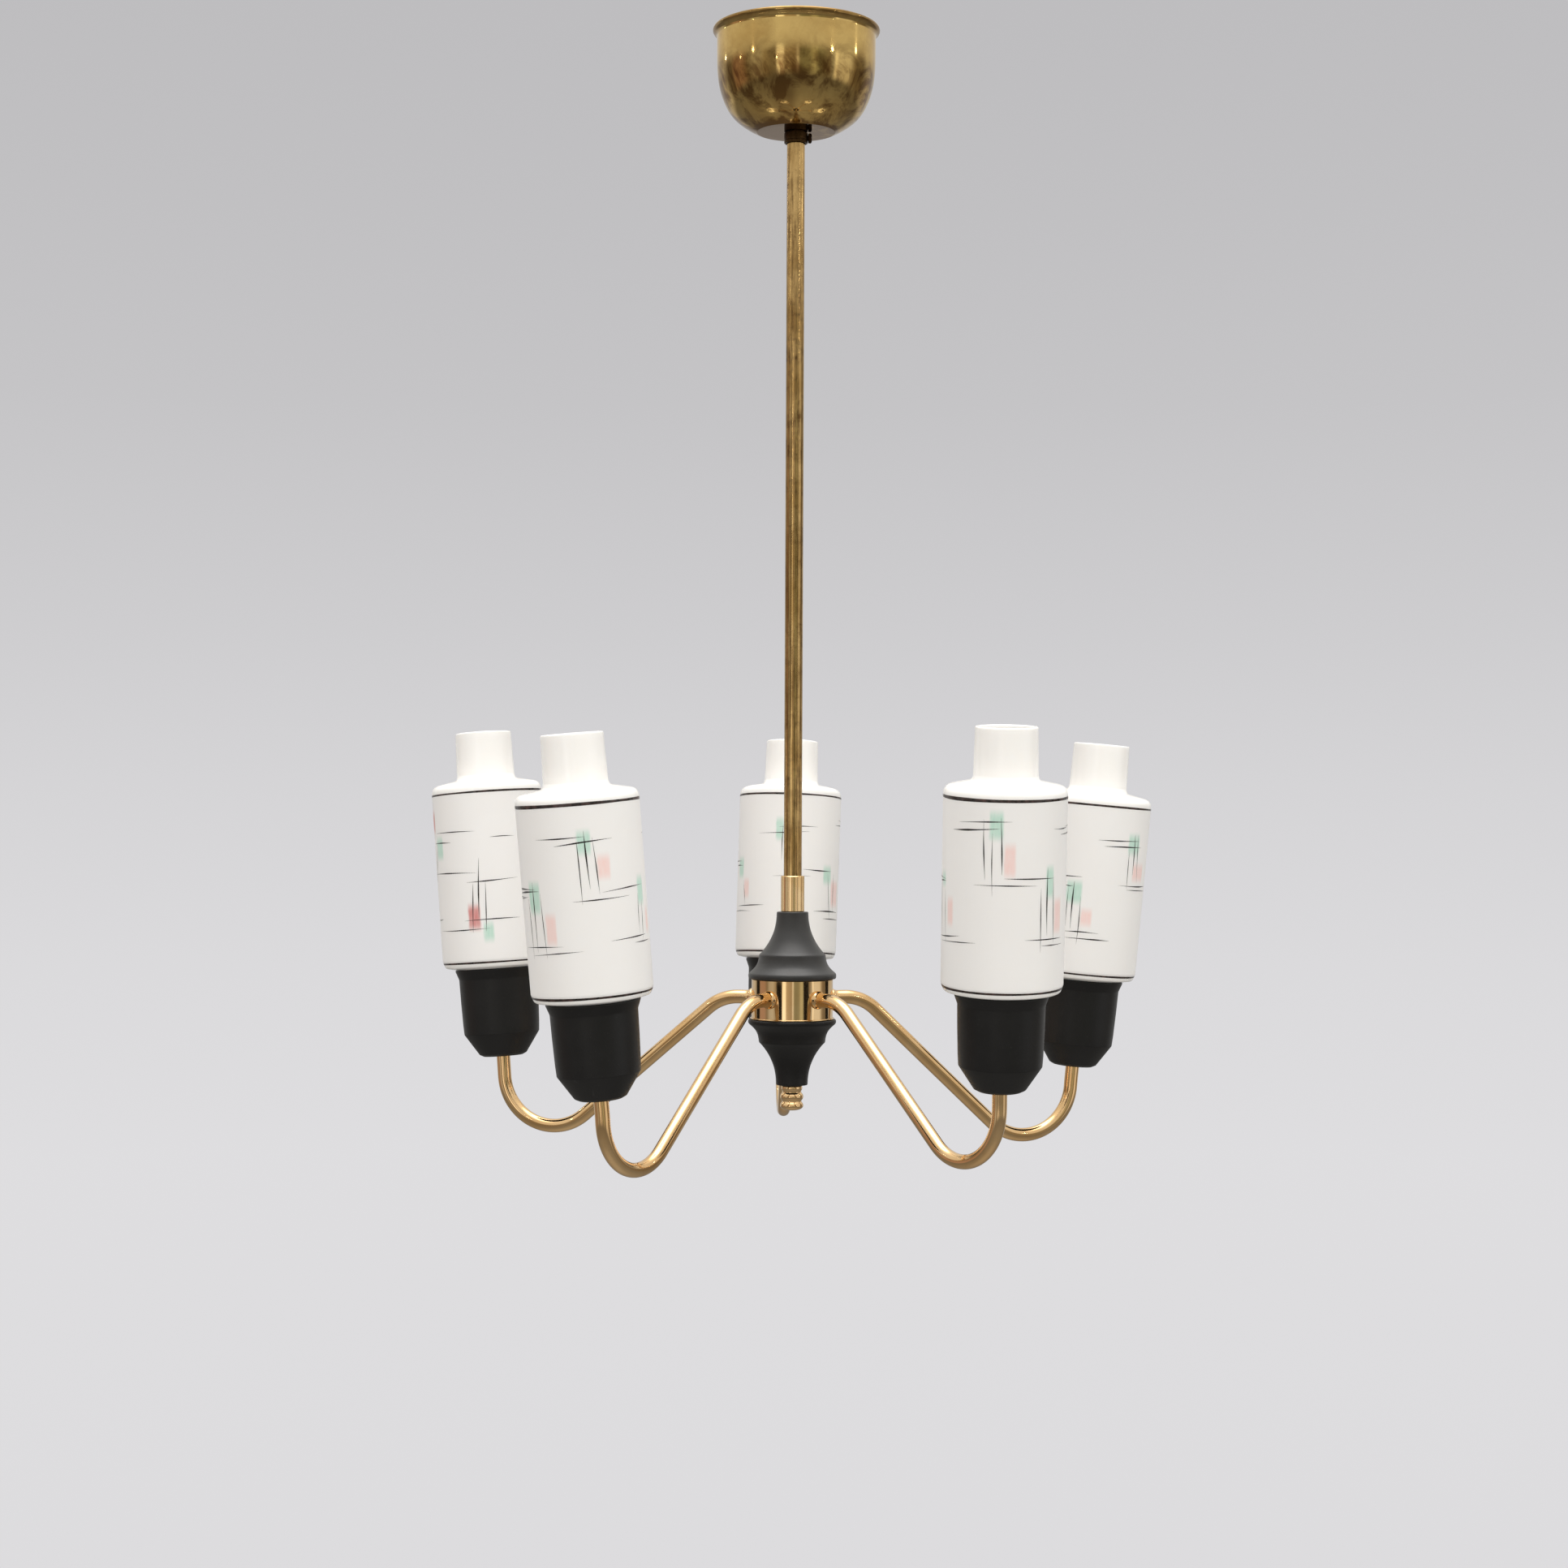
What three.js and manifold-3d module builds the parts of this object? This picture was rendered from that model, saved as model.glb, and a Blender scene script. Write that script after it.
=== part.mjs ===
// Five-arm hanging lamp: black and brass centre, opal glass shades.
// Millimetres, +Z up. The origin is the centre of the canopy's rim, where it
// meets the ceiling; the lamp hangs down from it. Five arms stand 72 degrees
// apart, the first one along +Y.
import * as THREE from 'three';
import { mergeVertices } from 'three/addons/utils/BufferGeometryUtils.js';
import Module from 'manifold-3d';

const wasm = await Module();
wasm.setup();

// ---- driving dimensions -------------------------------------------------
const GAP = 0.3;                 // running gap between touching pieces

// canopy
const CANOPY_RIM_R = 60.4;
const CANOPY_WALL = 2.0;
const CANOPY_BOTTOM_Z = -75.4;
const CANOPY_HOLE_R = 8.0;
const COLLAR_R = 8.5;
const COLLAR_BOTTOM_Z = -83.4;
const CANOPY_SCREW_Z = -79.5;

// drop rod and what hangs it
const ROD_R = 6.5;
const ROD_BORE_R = 5.3;
const ROD_TOP_Z = -46;
const ROD_BOTTOM_Z = -627.7;
const EYE_Z = -26;
const EYE_R = 11;
const EYE_WIRE_R = 3;

// centre: sleeve, cap, hub, cap, finial on one threaded tube
const SLEEVE_R = 8.5;
const SLEEVE_TOP_Z = -612;
const CAP_TOP_Z = -638;
const HUB_TOP_Z = -686;
const HUB_BOTTOM_Z = -715;
const HUB_R = 29.3;
const HUB_WALL = 3;
const LOWER_CAP_BOTTOM_Z = -762.6;
const FINIAL_BOTTOM_Z = -781;
const THREAD_R = 5;              // M10 threaded tube
const THREAD_BORE_R = 3.6;
const CAP_RIM_R = 31.7;
const CAP_WALL = 2.2;

// arms
// The arms are bent and set by hand: each lamp stands a little high or low,
// and sways a few degrees to one side.
const ARMS = [
  { where: 'back', rise: 1.5, swayDeg: -1.8 },
  { where: 'back_left', rise: 3.3, swayDeg: -0.8 },
  { where: 'front_left', rise: -2.6, swayDeg: -2.6 },
  { where: 'front_right', rise: 3.0, swayDeg: -2.9 },
  { where: 'back_right', rise: -3.2, swayDeg: -2.2 },
];
const ARM_STEP_DEG = 72;
const ARM_FIRST_DEG = 90;
const ARM_Z = -700;
const TUBE_R = 5;
const TUBE_BORE_R = 3.5;
const ARM_INNER_S = 19.6;        // where the tube starts inside the hub
const SHOULDER_S = 40.5;         // end of the level stretch
const SHOULDER_BEND_R = 35;
const U_BEND_R = 38.3;
const U_S = 183.6;               // radius at the lowest point of the arm
const U_Z = -802;                // tube centre at that point, before the arm's own rise
const LEAN_DEG = 4.5;            // the lamps lean outwards
const CUP_RISE = 15.45;          // straight tube between the bend and the cup
const THREAD_IN_HOLDER = 12;

// lamps, measured along each lamp's own axis from the underside of its cup
const CUP_TOP = 65;
const HOLDER_BOTTOM = 3.3;
const HOLDER_TOP = 50;
const SHADE_COLLAR_BOTTOM = 48;
const SHADE_R = 40.7;
const SHADE_NECK_TOP = 240.5;
const BULB_TIP = 128;

const RAD = Math.PI / 180;

// ---- materials ----------------------------------------------------------
const paint = (color, roughness, metalness) =>
  new THREE.MeshStandardMaterial({ color, roughness, metalness });
const LOOK = {
  brass: () => paint(0xd2a564, 0.18, 1),
  agedBrass: () => paint(0xa08048, 0.3, 1),
  bronze: () => paint(0x4a3620, 0.45, 1),
  steel: () => paint(0x9a9a98, 0.4, 1),
  black: () => paint(0x1b1a19, 0.55, 0),
  glass: () => paint(0xf3f0ec, 0.2, 0),
  bulb: () => paint(0xf8f6f0, 0.25, 0),
  phenolic: () => paint(0x2a201a, 0.5, 0),
  ceramic: () => paint(0xe8e4da, 0.4, 0),
  cable: () => paint(0xe9e6de, 0.6, 0),
};

// ---- geometry helpers ---------------------------------------------------
function signedVolume(g) {
  const p = g.attributes.position, ix = g.index;
  const n = ix ? ix.count : p.count;
  const a = new THREE.Vector3(), b = new THREE.Vector3(), c = new THREE.Vector3();
  let v = 0;
  for (let i = 0; i < n; i += 3) {
    const [i0, i1, i2] = ix ? [ix.getX(i), ix.getX(i + 1), ix.getX(i + 2)] : [i, i + 1, i + 2];
    a.fromBufferAttribute(p, i0); b.fromBufferAttribute(p, i1); c.fromBufferAttribute(p, i2);
    v += a.dot(b.cross(c)) / 6;
  }
  return v;
}

// Merged vertices, no slivers, faces pointing out.
function clean(geometry) {
  const g = geometry.clone();
  g.deleteAttribute('normal');
  g.deleteAttribute('uv');
  const m = mergeVertices(g, 1e-4);
  const old = m.index.array, keep = [];
  for (let i = 0; i < old.length; i += 3) {
    const [a, b, c] = [old[i], old[i + 1], old[i + 2]];
    if (a !== b && b !== c && c !== a) keep.push(a, b, c);
  }
  m.setIndex(keep);
  if (signedVolume(m) < 0) {
    for (let i = 0; i < keep.length; i += 3) [keep[i + 1], keep[i + 2]] = [keep[i + 2], keep[i + 1]];
    m.setIndex(keep);
  }
  return m;
}

const toManifold = (geometry) => {
  const g = clean(geometry);
  return new wasm.Manifold(new wasm.Mesh({
    numProp: 3,
    vertProperties: Float32Array.from(g.attributes.position.array),
    triVerts: Uint32Array.from(g.index.array),
  }));
};

const fromManifold = (solid) => {
  const mesh = solid.getMesh();
  const g = new THREE.BufferGeometry();
  g.setAttribute('position', new THREE.BufferAttribute(Float32Array.from(mesh.vertProperties), 3));
  g.setIndex(Array.from(mesh.triVerts));
  return g;
};

const cut = (body, ...tools) => fromManifold(tools.reduce((s, t) => s.subtract(toManifold(t)), toManifold(body)));
const join = (...bodies) => fromManifold(bodies.slice(1).reduce((s, t) => s.add(toManifold(t)), toManifold(bodies[0])));

// A body of revolution about Z from [radius, height] pairs. A hollow piece
// gives a ring of points and closes on itself; a solid one starts and ends
// on the axis.
function turned(profile, segments) {
  const onAxis = profile[0][0] === 0 && profile[profile.length - 1][0] === 0;
  const pts = profile.map(([r, z]) => new THREE.Vector2(r, z));
  if (!onAxis) pts.push(pts[0].clone());
  return clean(new THREE.LatheGeometry(pts, segments).rotateX(Math.PI / 2));
}

// A right prism about Z with a polygon outline and an optional round hole.
function prism(radius, sides, z0, z1, holeR = 0, holeSides = 16) {
  const ring = (r, n) => Array.from({ length: n }, (_, i) =>
    new THREE.Vector2(r * Math.cos(2 * Math.PI * i / n), r * Math.sin(2 * Math.PI * i / n)));
  const shape = new THREE.Shape(ring(radius, sides));
  if (holeR > 0) shape.holes.push(new THREE.Path(ring(holeR, holeSides)));
  return clean(new THREE.ExtrudeGeometry(shape, { depth: z1 - z0, bevelEnabled: false, curveSegments: 1 })
    .translate(0, 0, z0));
}

const bar = (r, x0, x1, sides = 12) =>
  clean(new THREE.CylinderGeometry(r, r, x1 - x0, sides).rotateZ(-Math.PI / 2).translate((x0 + x1) / 2, 0, 0));

const box = (sx, sy, sz, x, y, z) => clean(new THREE.BoxGeometry(sx, sy, sz).translate(x, y, z));

// A path through given points, with a section at each of them.
class PointPath extends THREE.Curve {
  constructor(points, tangents) {
    super();
    this.points = points;
    this.tangents = tangents;
  }
  getPoint(t) {
    const x = t * (this.points.length - 1), i = Math.min(Math.floor(x + 1e-9), this.points.length - 2);
    return this.points[i].clone().lerp(this.points[i + 1], x - i);
  }
  getPointAt(t) { return this.getPoint(t); }
  getTangentAt(t) {
    const x = t * (this.points.length - 1), i = Math.min(Math.floor(x + 1e-9), this.points.length - 2);
    return this.tangents[i].clone().lerp(this.tangents[i + 1], x - i).normalize();
  }
  getTangent(t) { return this.getTangentAt(t); }
}

function tube(path, outerR, outerSides, innerR = 0, innerSides = 6) {
  const ring = (r, n) => Array.from({ length: n }, (_, i) =>
    new THREE.Vector2(r * Math.cos(2 * Math.PI * i / n), r * Math.sin(2 * Math.PI * i / n)));
  const shape = new THREE.Shape(ring(outerR, outerSides));
  if (innerR > 0) shape.holes.push(new THREE.Path(ring(innerR, innerSides)));
  return clean(new THREE.ExtrudeGeometry(shape, {
    extrudePath: path, steps: path.points.length - 1, bevelEnabled: false, curveSegments: 1,
  }));
}

function pathThrough(list) {
  const pts = list.map(([x, y, z]) => new THREE.Vector3(x, y, z));
  const tan = pts.map((_, i) => {
    const a = pts[Math.max(i - 1, 0)], b = pts[Math.min(i + 1, pts.length - 1)];
    return b.clone().sub(a).normalize();
  });
  return new PointPath(pts, tan);
}

// ---- the arm's centreline -------------------------------------------------
// x is the distance from the rod's axis, y is sideways, z is height.
const LEAN = LEAN_DEG * RAD;

function lampAxis({ swayDeg }) {
  return new THREE.Vector3(Math.sin(LEAN), Math.tan(swayDeg * RAD), Math.cos(LEAN)).normalize();
}

// End of the U-bend, still in the arm's plane.
function dropEnd({ rise }) {
  const a = 90 * RAD - LEAN;
  return new THREE.Vector3(U_S + U_BEND_R * Math.sin(a), 0, U_Z + rise + U_BEND_R * (1 - Math.cos(a)));
}

const lampFoot = (arm) => dropEnd(arm).addScaledVector(lampAxis(arm), CUP_RISE);

// Fall of the long straight, which is tangent to both bends.
function slope({ rise }) {
  const ds = U_S - SHOULDER_S, dz = (ARM_Z - SHOULDER_BEND_R) - (U_Z + rise + U_BEND_R);
  return Math.atan2(dz, ds) + Math.asin((SHOULDER_BEND_R + U_BEND_R) / Math.hypot(ds, dz));
}

function armPath(arm, startS, endT, lead = []) {
  const P = [], T = [];
  const add = (s, z, a) => {
    P.push(new THREE.Vector3(s, 0, z));
    T.push(new THREE.Vector3(Math.cos(a), 0, Math.sin(a)));
  };
  for (const [s, z, deg] of lead) add(s, z, deg * RAD);
  add(startS, ARM_Z, 0);
  const fall = slope(arm);
  for (let i = 0; i <= 3; i++) {
    const a = fall * i / 3;
    add(SHOULDER_S + SHOULDER_BEND_R * Math.sin(a), ARM_Z - SHOULDER_BEND_R * (1 - Math.cos(a)), -a);
  }
  const around = [-fall, -fall / 2];
  for (let i = 0; i <= 5; i++) around.push((90 * RAD - LEAN) * i / 5);
  for (const a of around) {
    add(U_S + U_BEND_R * Math.sin(a), U_Z + arm.rise + U_BEND_R * (1 - Math.cos(a)), a);
  }
  const axis = lampAxis(arm), foot = lampFoot(arm);
  for (const t of [-6, endT]) {
    P.push(foot.clone().addScaledVector(axis, t));
    T.push(axis.clone());
  }
  return new PointPath(P, T);
}

// ---- assembly -------------------------------------------------------------
const lamp = new THREE.Group();
lamp.name = 'chandelier';
function put(parent, name, geometry, look) {
  const m = new THREE.Mesh(geometry, LOOK[look]());
  m.name = name;
  parent.add(m);
  return m;
}

// Spun brass canopy with a rolled rim, open at the ceiling.
put(lamp, 'canopy', turned([
  [56.5, 0], [CANOPY_RIM_R, 0], [CANOPY_RIM_R, -4], [57.4, -6], [57.3, -27], [53.6, -50],
  [44.6, -65], [28.8, CANOPY_BOTTOM_Z], [CANOPY_HOLE_R, CANOPY_BOTTOM_Z],
  [CANOPY_HOLE_R, CANOPY_BOTTOM_Z + CANOPY_WALL], [27.6, CANOPY_BOTTOM_Z + CANOPY_WALL], [43.2, -63.2],
  [51.6, -49], [55.2, -27], [55.4, -6],
], 24), 'agedBrass');

// Collar under the canopy, its neck through the canopy's hole, cross-drilled
// for the screw that grips the rod.
put(lamp, 'canopy_collar', cut(turned([
  [6.8, COLLAR_BOTTOM_Z], [COLLAR_R, COLLAR_BOTTOM_Z], [COLLAR_R, CANOPY_BOTTOM_Z - GAP],
  [7.7, CANOPY_BOTTOM_Z - GAP], [7.7, -69.4], [6.8, -69.4],
], 20), bar(2.3, 4, 12).translate(0, 0, CANOPY_SCREW_Z)), 'bronze');
put(lamp, 'canopy_locknut', prism(11.5, 6, -73.1, -70.1, 8, 20), 'steel');
put(lamp, 'canopy_screw', clean(join(
  bar(2, 6.8, 9.6, 12), bar(3.6, 8.8, 11.4, 12),
).translate(0, 0, CANOPY_SCREW_Z)), 'bronze');

// Drop rod: a brass tube, with a window near its top for the cable.
put(lamp, 'rod', cut(
  turned([[ROD_BORE_R, ROD_BOTTOM_Z], [ROD_R, ROD_BOTTOM_Z], [ROD_R, ROD_TOP_Z], [ROD_BORE_R, ROD_TOP_Z]], 20),
  box(6.4, 8, 9, 0, 6, -60.5)), 'agedBrass');

// Eye that hooks on the ceiling hook, screwed into the rod.
put(lamp, 'suspension_loop', join(
  new THREE.TorusGeometry(EYE_R, EYE_WIRE_R, 6, 16).rotateX(Math.PI / 2).translate(0, 0, EYE_Z),
  turned([[0, -53.5], [5, -53.5], [5, ROD_TOP_Z + GAP], [6.5, ROD_TOP_Z + GAP], [6.5, -41], [4.2, -38.5], [0, -38.5]], 12),
), 'steel');

// Supply cable inside the rod, and the block it ends in under the ceiling.
put(lamp, 'ceiling_terminal', box(20, 12, 14, 0, 17, -28), 'ceramic');
put(lamp, 'supply_cable', tube(pathThrough([
  [0, 17, -35.3], [0, 16.9, -43], [0, 14.8, -49.5], [0, 9.8, -55.5], [0, 4.6, -61.5], [0, 1.6, -68], [0, 0.4, -75],
  [0, 0, -84], [0, 0, -330], [0, 0, -560], [0, 0, -640], [0, 0.5, -647], [0, 3, -654.5], [0, 6.8, -661.5], [0, 9.8, -667.5], [0, 10.5, -672.2],
]), 2.2, 8), 'cable');

// Coupling sleeve between the rod and the threaded tube.
put(lamp, 'sleeve', turned([
  [THREAD_R + GAP, CAP_TOP_Z + GAP], [SLEEVE_R, CAP_TOP_Z + GAP], [SLEEVE_R, SLEEVE_TOP_Z],
  [ROD_R + GAP, SLEEVE_TOP_Z], [ROD_R + GAP, ROD_BOTTOM_Z - GAP], [THREAD_R + GAP, ROD_BOTTOM_Z - GAP],
], 20), 'brass');

// Threaded tube that pulls the caps and the hub together, with a slot that
// lets the cable out into the upper cap.
put(lamp, 'centre_tube', cut(
  turned([[THREAD_BORE_R, -772], [THREAD_R, -772], [THREAD_R, -620], [THREAD_BORE_R, -620]], 16),
  box(5.6, 8, 20, 0, 6, -656)), 'steel');

// Two stepped caps of the same turned shape, one above and one below the hub.
const capOutside = [[11.3, 0], [12.2, 9], [14.6, 17], [18.8, 25], [23.9, 31], [26.2, 39], [CAP_RIM_R, 44.2], [CAP_RIM_R, 48]];
const capInside = [[28.6, 48], [24, 40], [21.5, 32], [16.5, 26.5], [11.4, 16], [9.2, 3], [THREAD_R + GAP, 3], [THREAD_R + GAP, 0]];
put(lamp, 'upper_cap', turned(
  [...capOutside, ...capInside].map(([r, d]) => [r, CAP_TOP_Z - d]), 20), 'black');
put(lamp, 'lower_cap', turned(
  [...capOutside, ...capInside].map(([r, d]) => [r, LOWER_CAP_BOTTOM_Z + Math.min(d, 47.3)]), 20), 'black');

// Brass hub: a drum with a floor, five tapped side holes and a loose lid.
const armAngles = ARMS.map((_, i) => (ARM_FIRST_DEG + i * ARM_STEP_DEG) * RAD);
const sideHoles = armAngles.map((a) => bar(TUBE_R + GAP, 20, 36, 10).translate(0, 0, ARM_Z).rotateZ(a));
put(lamp, 'hub_body', cut(turned([
  [THREAD_R + GAP, HUB_BOTTOM_Z], [HUB_R + 0.9, HUB_BOTTOM_Z], [HUB_R + 0.9, HUB_BOTTOM_Z + 0.6],
  [HUB_R, HUB_BOTTOM_Z + 0.6], [HUB_R, HUB_TOP_Z - GAP],
  [HUB_R - HUB_WALL, HUB_TOP_Z - GAP], [HUB_R - HUB_WALL, HUB_BOTTOM_Z + 3], [THREAD_R + GAP, HUB_BOTTOM_Z + 3],
], 30), ...sideHoles), 'brass');
const WIRE_S = 12.6;
put(lamp, 'hub_lid', cut(
  turned([[THREAD_R + GAP, -689], [26, -689], [26, -686.5], [THREAD_R + GAP, -686.5]], 24),
  ...armAngles.map((a) => new THREE.CylinderGeometry(3, 3, 8, 8).rotateX(Math.PI / 2).translate(WIRE_S, 0, -688).rotateZ(a)),
), 'steel');
put(lamp, 'hub_nut_upper', prism(9.8, 6, -711.7, -707, THREAD_R + GAP), 'steel');
put(lamp, 'hub_nut_lower', prism(9.8, 6, -720, -715.3, THREAD_R + GAP), 'steel');
put(lamp, 'terminal_block', turned([
  [6, -686.2], [18.5, -686.2], [18.5, -673], [6, -673],
], 20), 'phenolic');

// Beaded finial that screws on the threaded tube.
put(lamp, 'finial', turned([
  [0, FINIAL_BOTTOM_Z], [6, -780.4], [8.4, -777.6], [7, -774.3], [8.4, -771],
  [7, -767.4], [7.6, LOWER_CAP_BOTTOM_Z - GAP], [THREAD_R + GAP, LOWER_CAP_BOTTOM_Z - GAP], [THREAD_R + GAP, -773], [0, -773],
], 16), 'brass');

// One arm with its nut, wire, cup, lampholder, bulb and glass, five times.
ARMS.forEach((arm, i) => {
  const { where } = arm;
  const side = new THREE.Group();
  side.rotation.z = armAngles[i];
  lamp.add(side);

  const root = turned([[4.3, 29.6], [6.6, 29.6], [4.3, 33]], 10).rotateX(Math.PI / 2).rotateZ(Math.PI / 2)
    .translate(0, 0, ARM_Z);
  put(side, `arm_${where}`, join(
    tube(armPath(arm, ARM_INNER_S, THREAD_IN_HOLDER), TUBE_R, 8, TUBE_BORE_R, 6), root), 'brass');
  put(side, `arm_nut_${where}`, prism(7.4, 6, 20.8, 24.7, TUBE_R + GAP, 12)
    .rotateX(Math.PI / 2).rotateZ(Math.PI / 2).translate(0, 0, ARM_Z), 'steel');

  // The wire turns up inside the hub, through the lid, to the block above.
  const BEND = 6;
  const lead = [[WIRE_S, -686.9, -90], [WIRE_S, ARM_Z + BEND, -90],
    [WIRE_S + BEND * (1 - Math.cos(45 * RAD)), ARM_Z + BEND - BEND * Math.sin(45 * RAD), -45]];
  put(side, `arm_wire_${where}`, tube(armPath(arm, WIRE_S + BEND, 19, lead), 1.9, 6), 'cable');

  const head = new THREE.Group();
  const up = lampAxis(arm), outward = new THREE.Vector3(0, 1, 0).cross(up).normalize();
  head.quaternion.setFromRotationMatrix(new THREE.Matrix4().makeBasis(outward, up.clone().cross(outward), up));
  head.position.copy(lampFoot(arm));
  side.add(head);

  put(head, `cup_${where}`, turned([
    [TUBE_R + GAP, 0], [14.4, 0], [17.2, 1.6], [27.9, 17.6], [29.1, 59.5], [31.5, CUP_TOP], [29.2, CUP_TOP],
    [26.8, 59], [25.7, 18.4], [16, 3], [TUBE_R + GAP, 3],
  ], 16), 'black');
  put(head, `lampholder_${where}`, turned([
    [TUBE_R + GAP, HOLDER_BOTTOM], [9.5, HOLDER_BOTTOM], [13, 9], [13, HOLDER_TOP], [8.2, HOLDER_TOP], [8.2, 22], [TUBE_R + GAP, 22],
  ], 12), 'phenolic');
  put(head, `bulb_${where}`, turned([
    [0, 26], [6.9, 30], [6.9, 46], [7.7, 50.5], [14, 61], [17.5, 78], [14.5, 99], [5, 122], [0, BULB_TIP],
  ], 12), 'bulb');
  put(head, `shade_${where}`, turned([
    [22, SHADE_COLLAR_BOTTOM], [25, SHADE_COLLAR_BOTTOM], [25, 65.3], [31.5, 65.3], [38.4, 67.3], [40.2, 71.4],
    [SHADE_R, 194], [36.5, 202.2], [21.4, 205.4], [20.65, SHADE_NECK_TOP], [17.9, SHADE_NECK_TOP], [18.2, 203.2],
    [35.4, 199.4], [37.9, 193], [37.2, 71.6], [34.5, 67.8], [22, 67.8],
  ], 20), 'glass');
});

export default lamp;
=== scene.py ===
# Five-arm hanging lamp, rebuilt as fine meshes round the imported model.
# Lengths in the tables are millimetres in the model's own frame.
import math
import random

import bpy
import bmesh
from mathutils import Matrix, Vector


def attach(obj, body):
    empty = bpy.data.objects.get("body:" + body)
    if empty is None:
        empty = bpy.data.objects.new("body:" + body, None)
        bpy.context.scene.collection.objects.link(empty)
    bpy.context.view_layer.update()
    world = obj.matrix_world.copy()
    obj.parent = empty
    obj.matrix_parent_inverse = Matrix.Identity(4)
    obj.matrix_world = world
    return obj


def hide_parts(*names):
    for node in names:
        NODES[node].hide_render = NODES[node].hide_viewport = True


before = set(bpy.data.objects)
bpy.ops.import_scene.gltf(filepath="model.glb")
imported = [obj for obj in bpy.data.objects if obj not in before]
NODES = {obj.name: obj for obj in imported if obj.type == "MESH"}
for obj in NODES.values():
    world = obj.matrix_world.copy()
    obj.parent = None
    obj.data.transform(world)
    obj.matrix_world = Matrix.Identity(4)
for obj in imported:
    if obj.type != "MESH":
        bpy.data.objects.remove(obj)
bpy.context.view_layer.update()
MM = 0.001
TAU = 2 * math.pi


# ---------------------------------------------------------------- shapes
def lerp(a, b, t):
    return a + (b - a) * t


def spline(points, n):
    """Catmull-Rom curve through 2-D or 3-D points, n steps to a span."""
    p = [Vector(q) for q in points]
    p = [p[0] * 2 - p[1]] + p + [p[-1] * 2 - p[-2]]
    out = []
    for i in range(1, len(p) - 2):
        a, b, c, d = p[i - 1], p[i], p[i + 1], p[i + 2]
        for k in range(n):
            t = k / n
            out.append(0.5 * ((2 * b) + (c - a) * t + (2 * a - 5 * b + 4 * c - d) * t * t
                              + (3 * b - a - 3 * c + d) * t * t * t))
    out.append(p[-2].copy())
    return [tuple(q) for q in out]


def rounded(points, closed=False, n=5):
    """A 2-D outline of (r, z, radius) corners with its corners rounded."""
    pts = [(p[0], p[1], p[2] if len(p) > 2 else 0.0) for p in points]
    m, out = len(pts), []
    for i, (x, y, rad) in enumerate(pts):
        if rad <= 0 or (not closed and i in (0, m - 1)):
            out.append((x, y))
            continue
        b = Vector((x, y))
        d1 = Vector(pts[(i - 1) % m][:2]) - b
        d2 = Vector(pts[(i + 1) % m][:2]) - b
        l1, l2 = d1.length, d2.length
        d1.normalize(), d2.normalize()
        half = math.acos(max(-1, min(1, d1.dot(d2)))) / 2
        if half > math.radians(88.5):
            out.append((x, y))
            continue
        tl = min(rad / math.tan(half), 0.48 * l1, 0.48 * l2)
        p1, p2 = b + d1 * tl, b + d2 * tl
        for k in range(n + 1):
            s = k / n
            q = p1 * (1 - s) ** 2 + b * (2 * s * (1 - s)) + p2 * s * s
            out.append((q.x, q.y))
    return out


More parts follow.
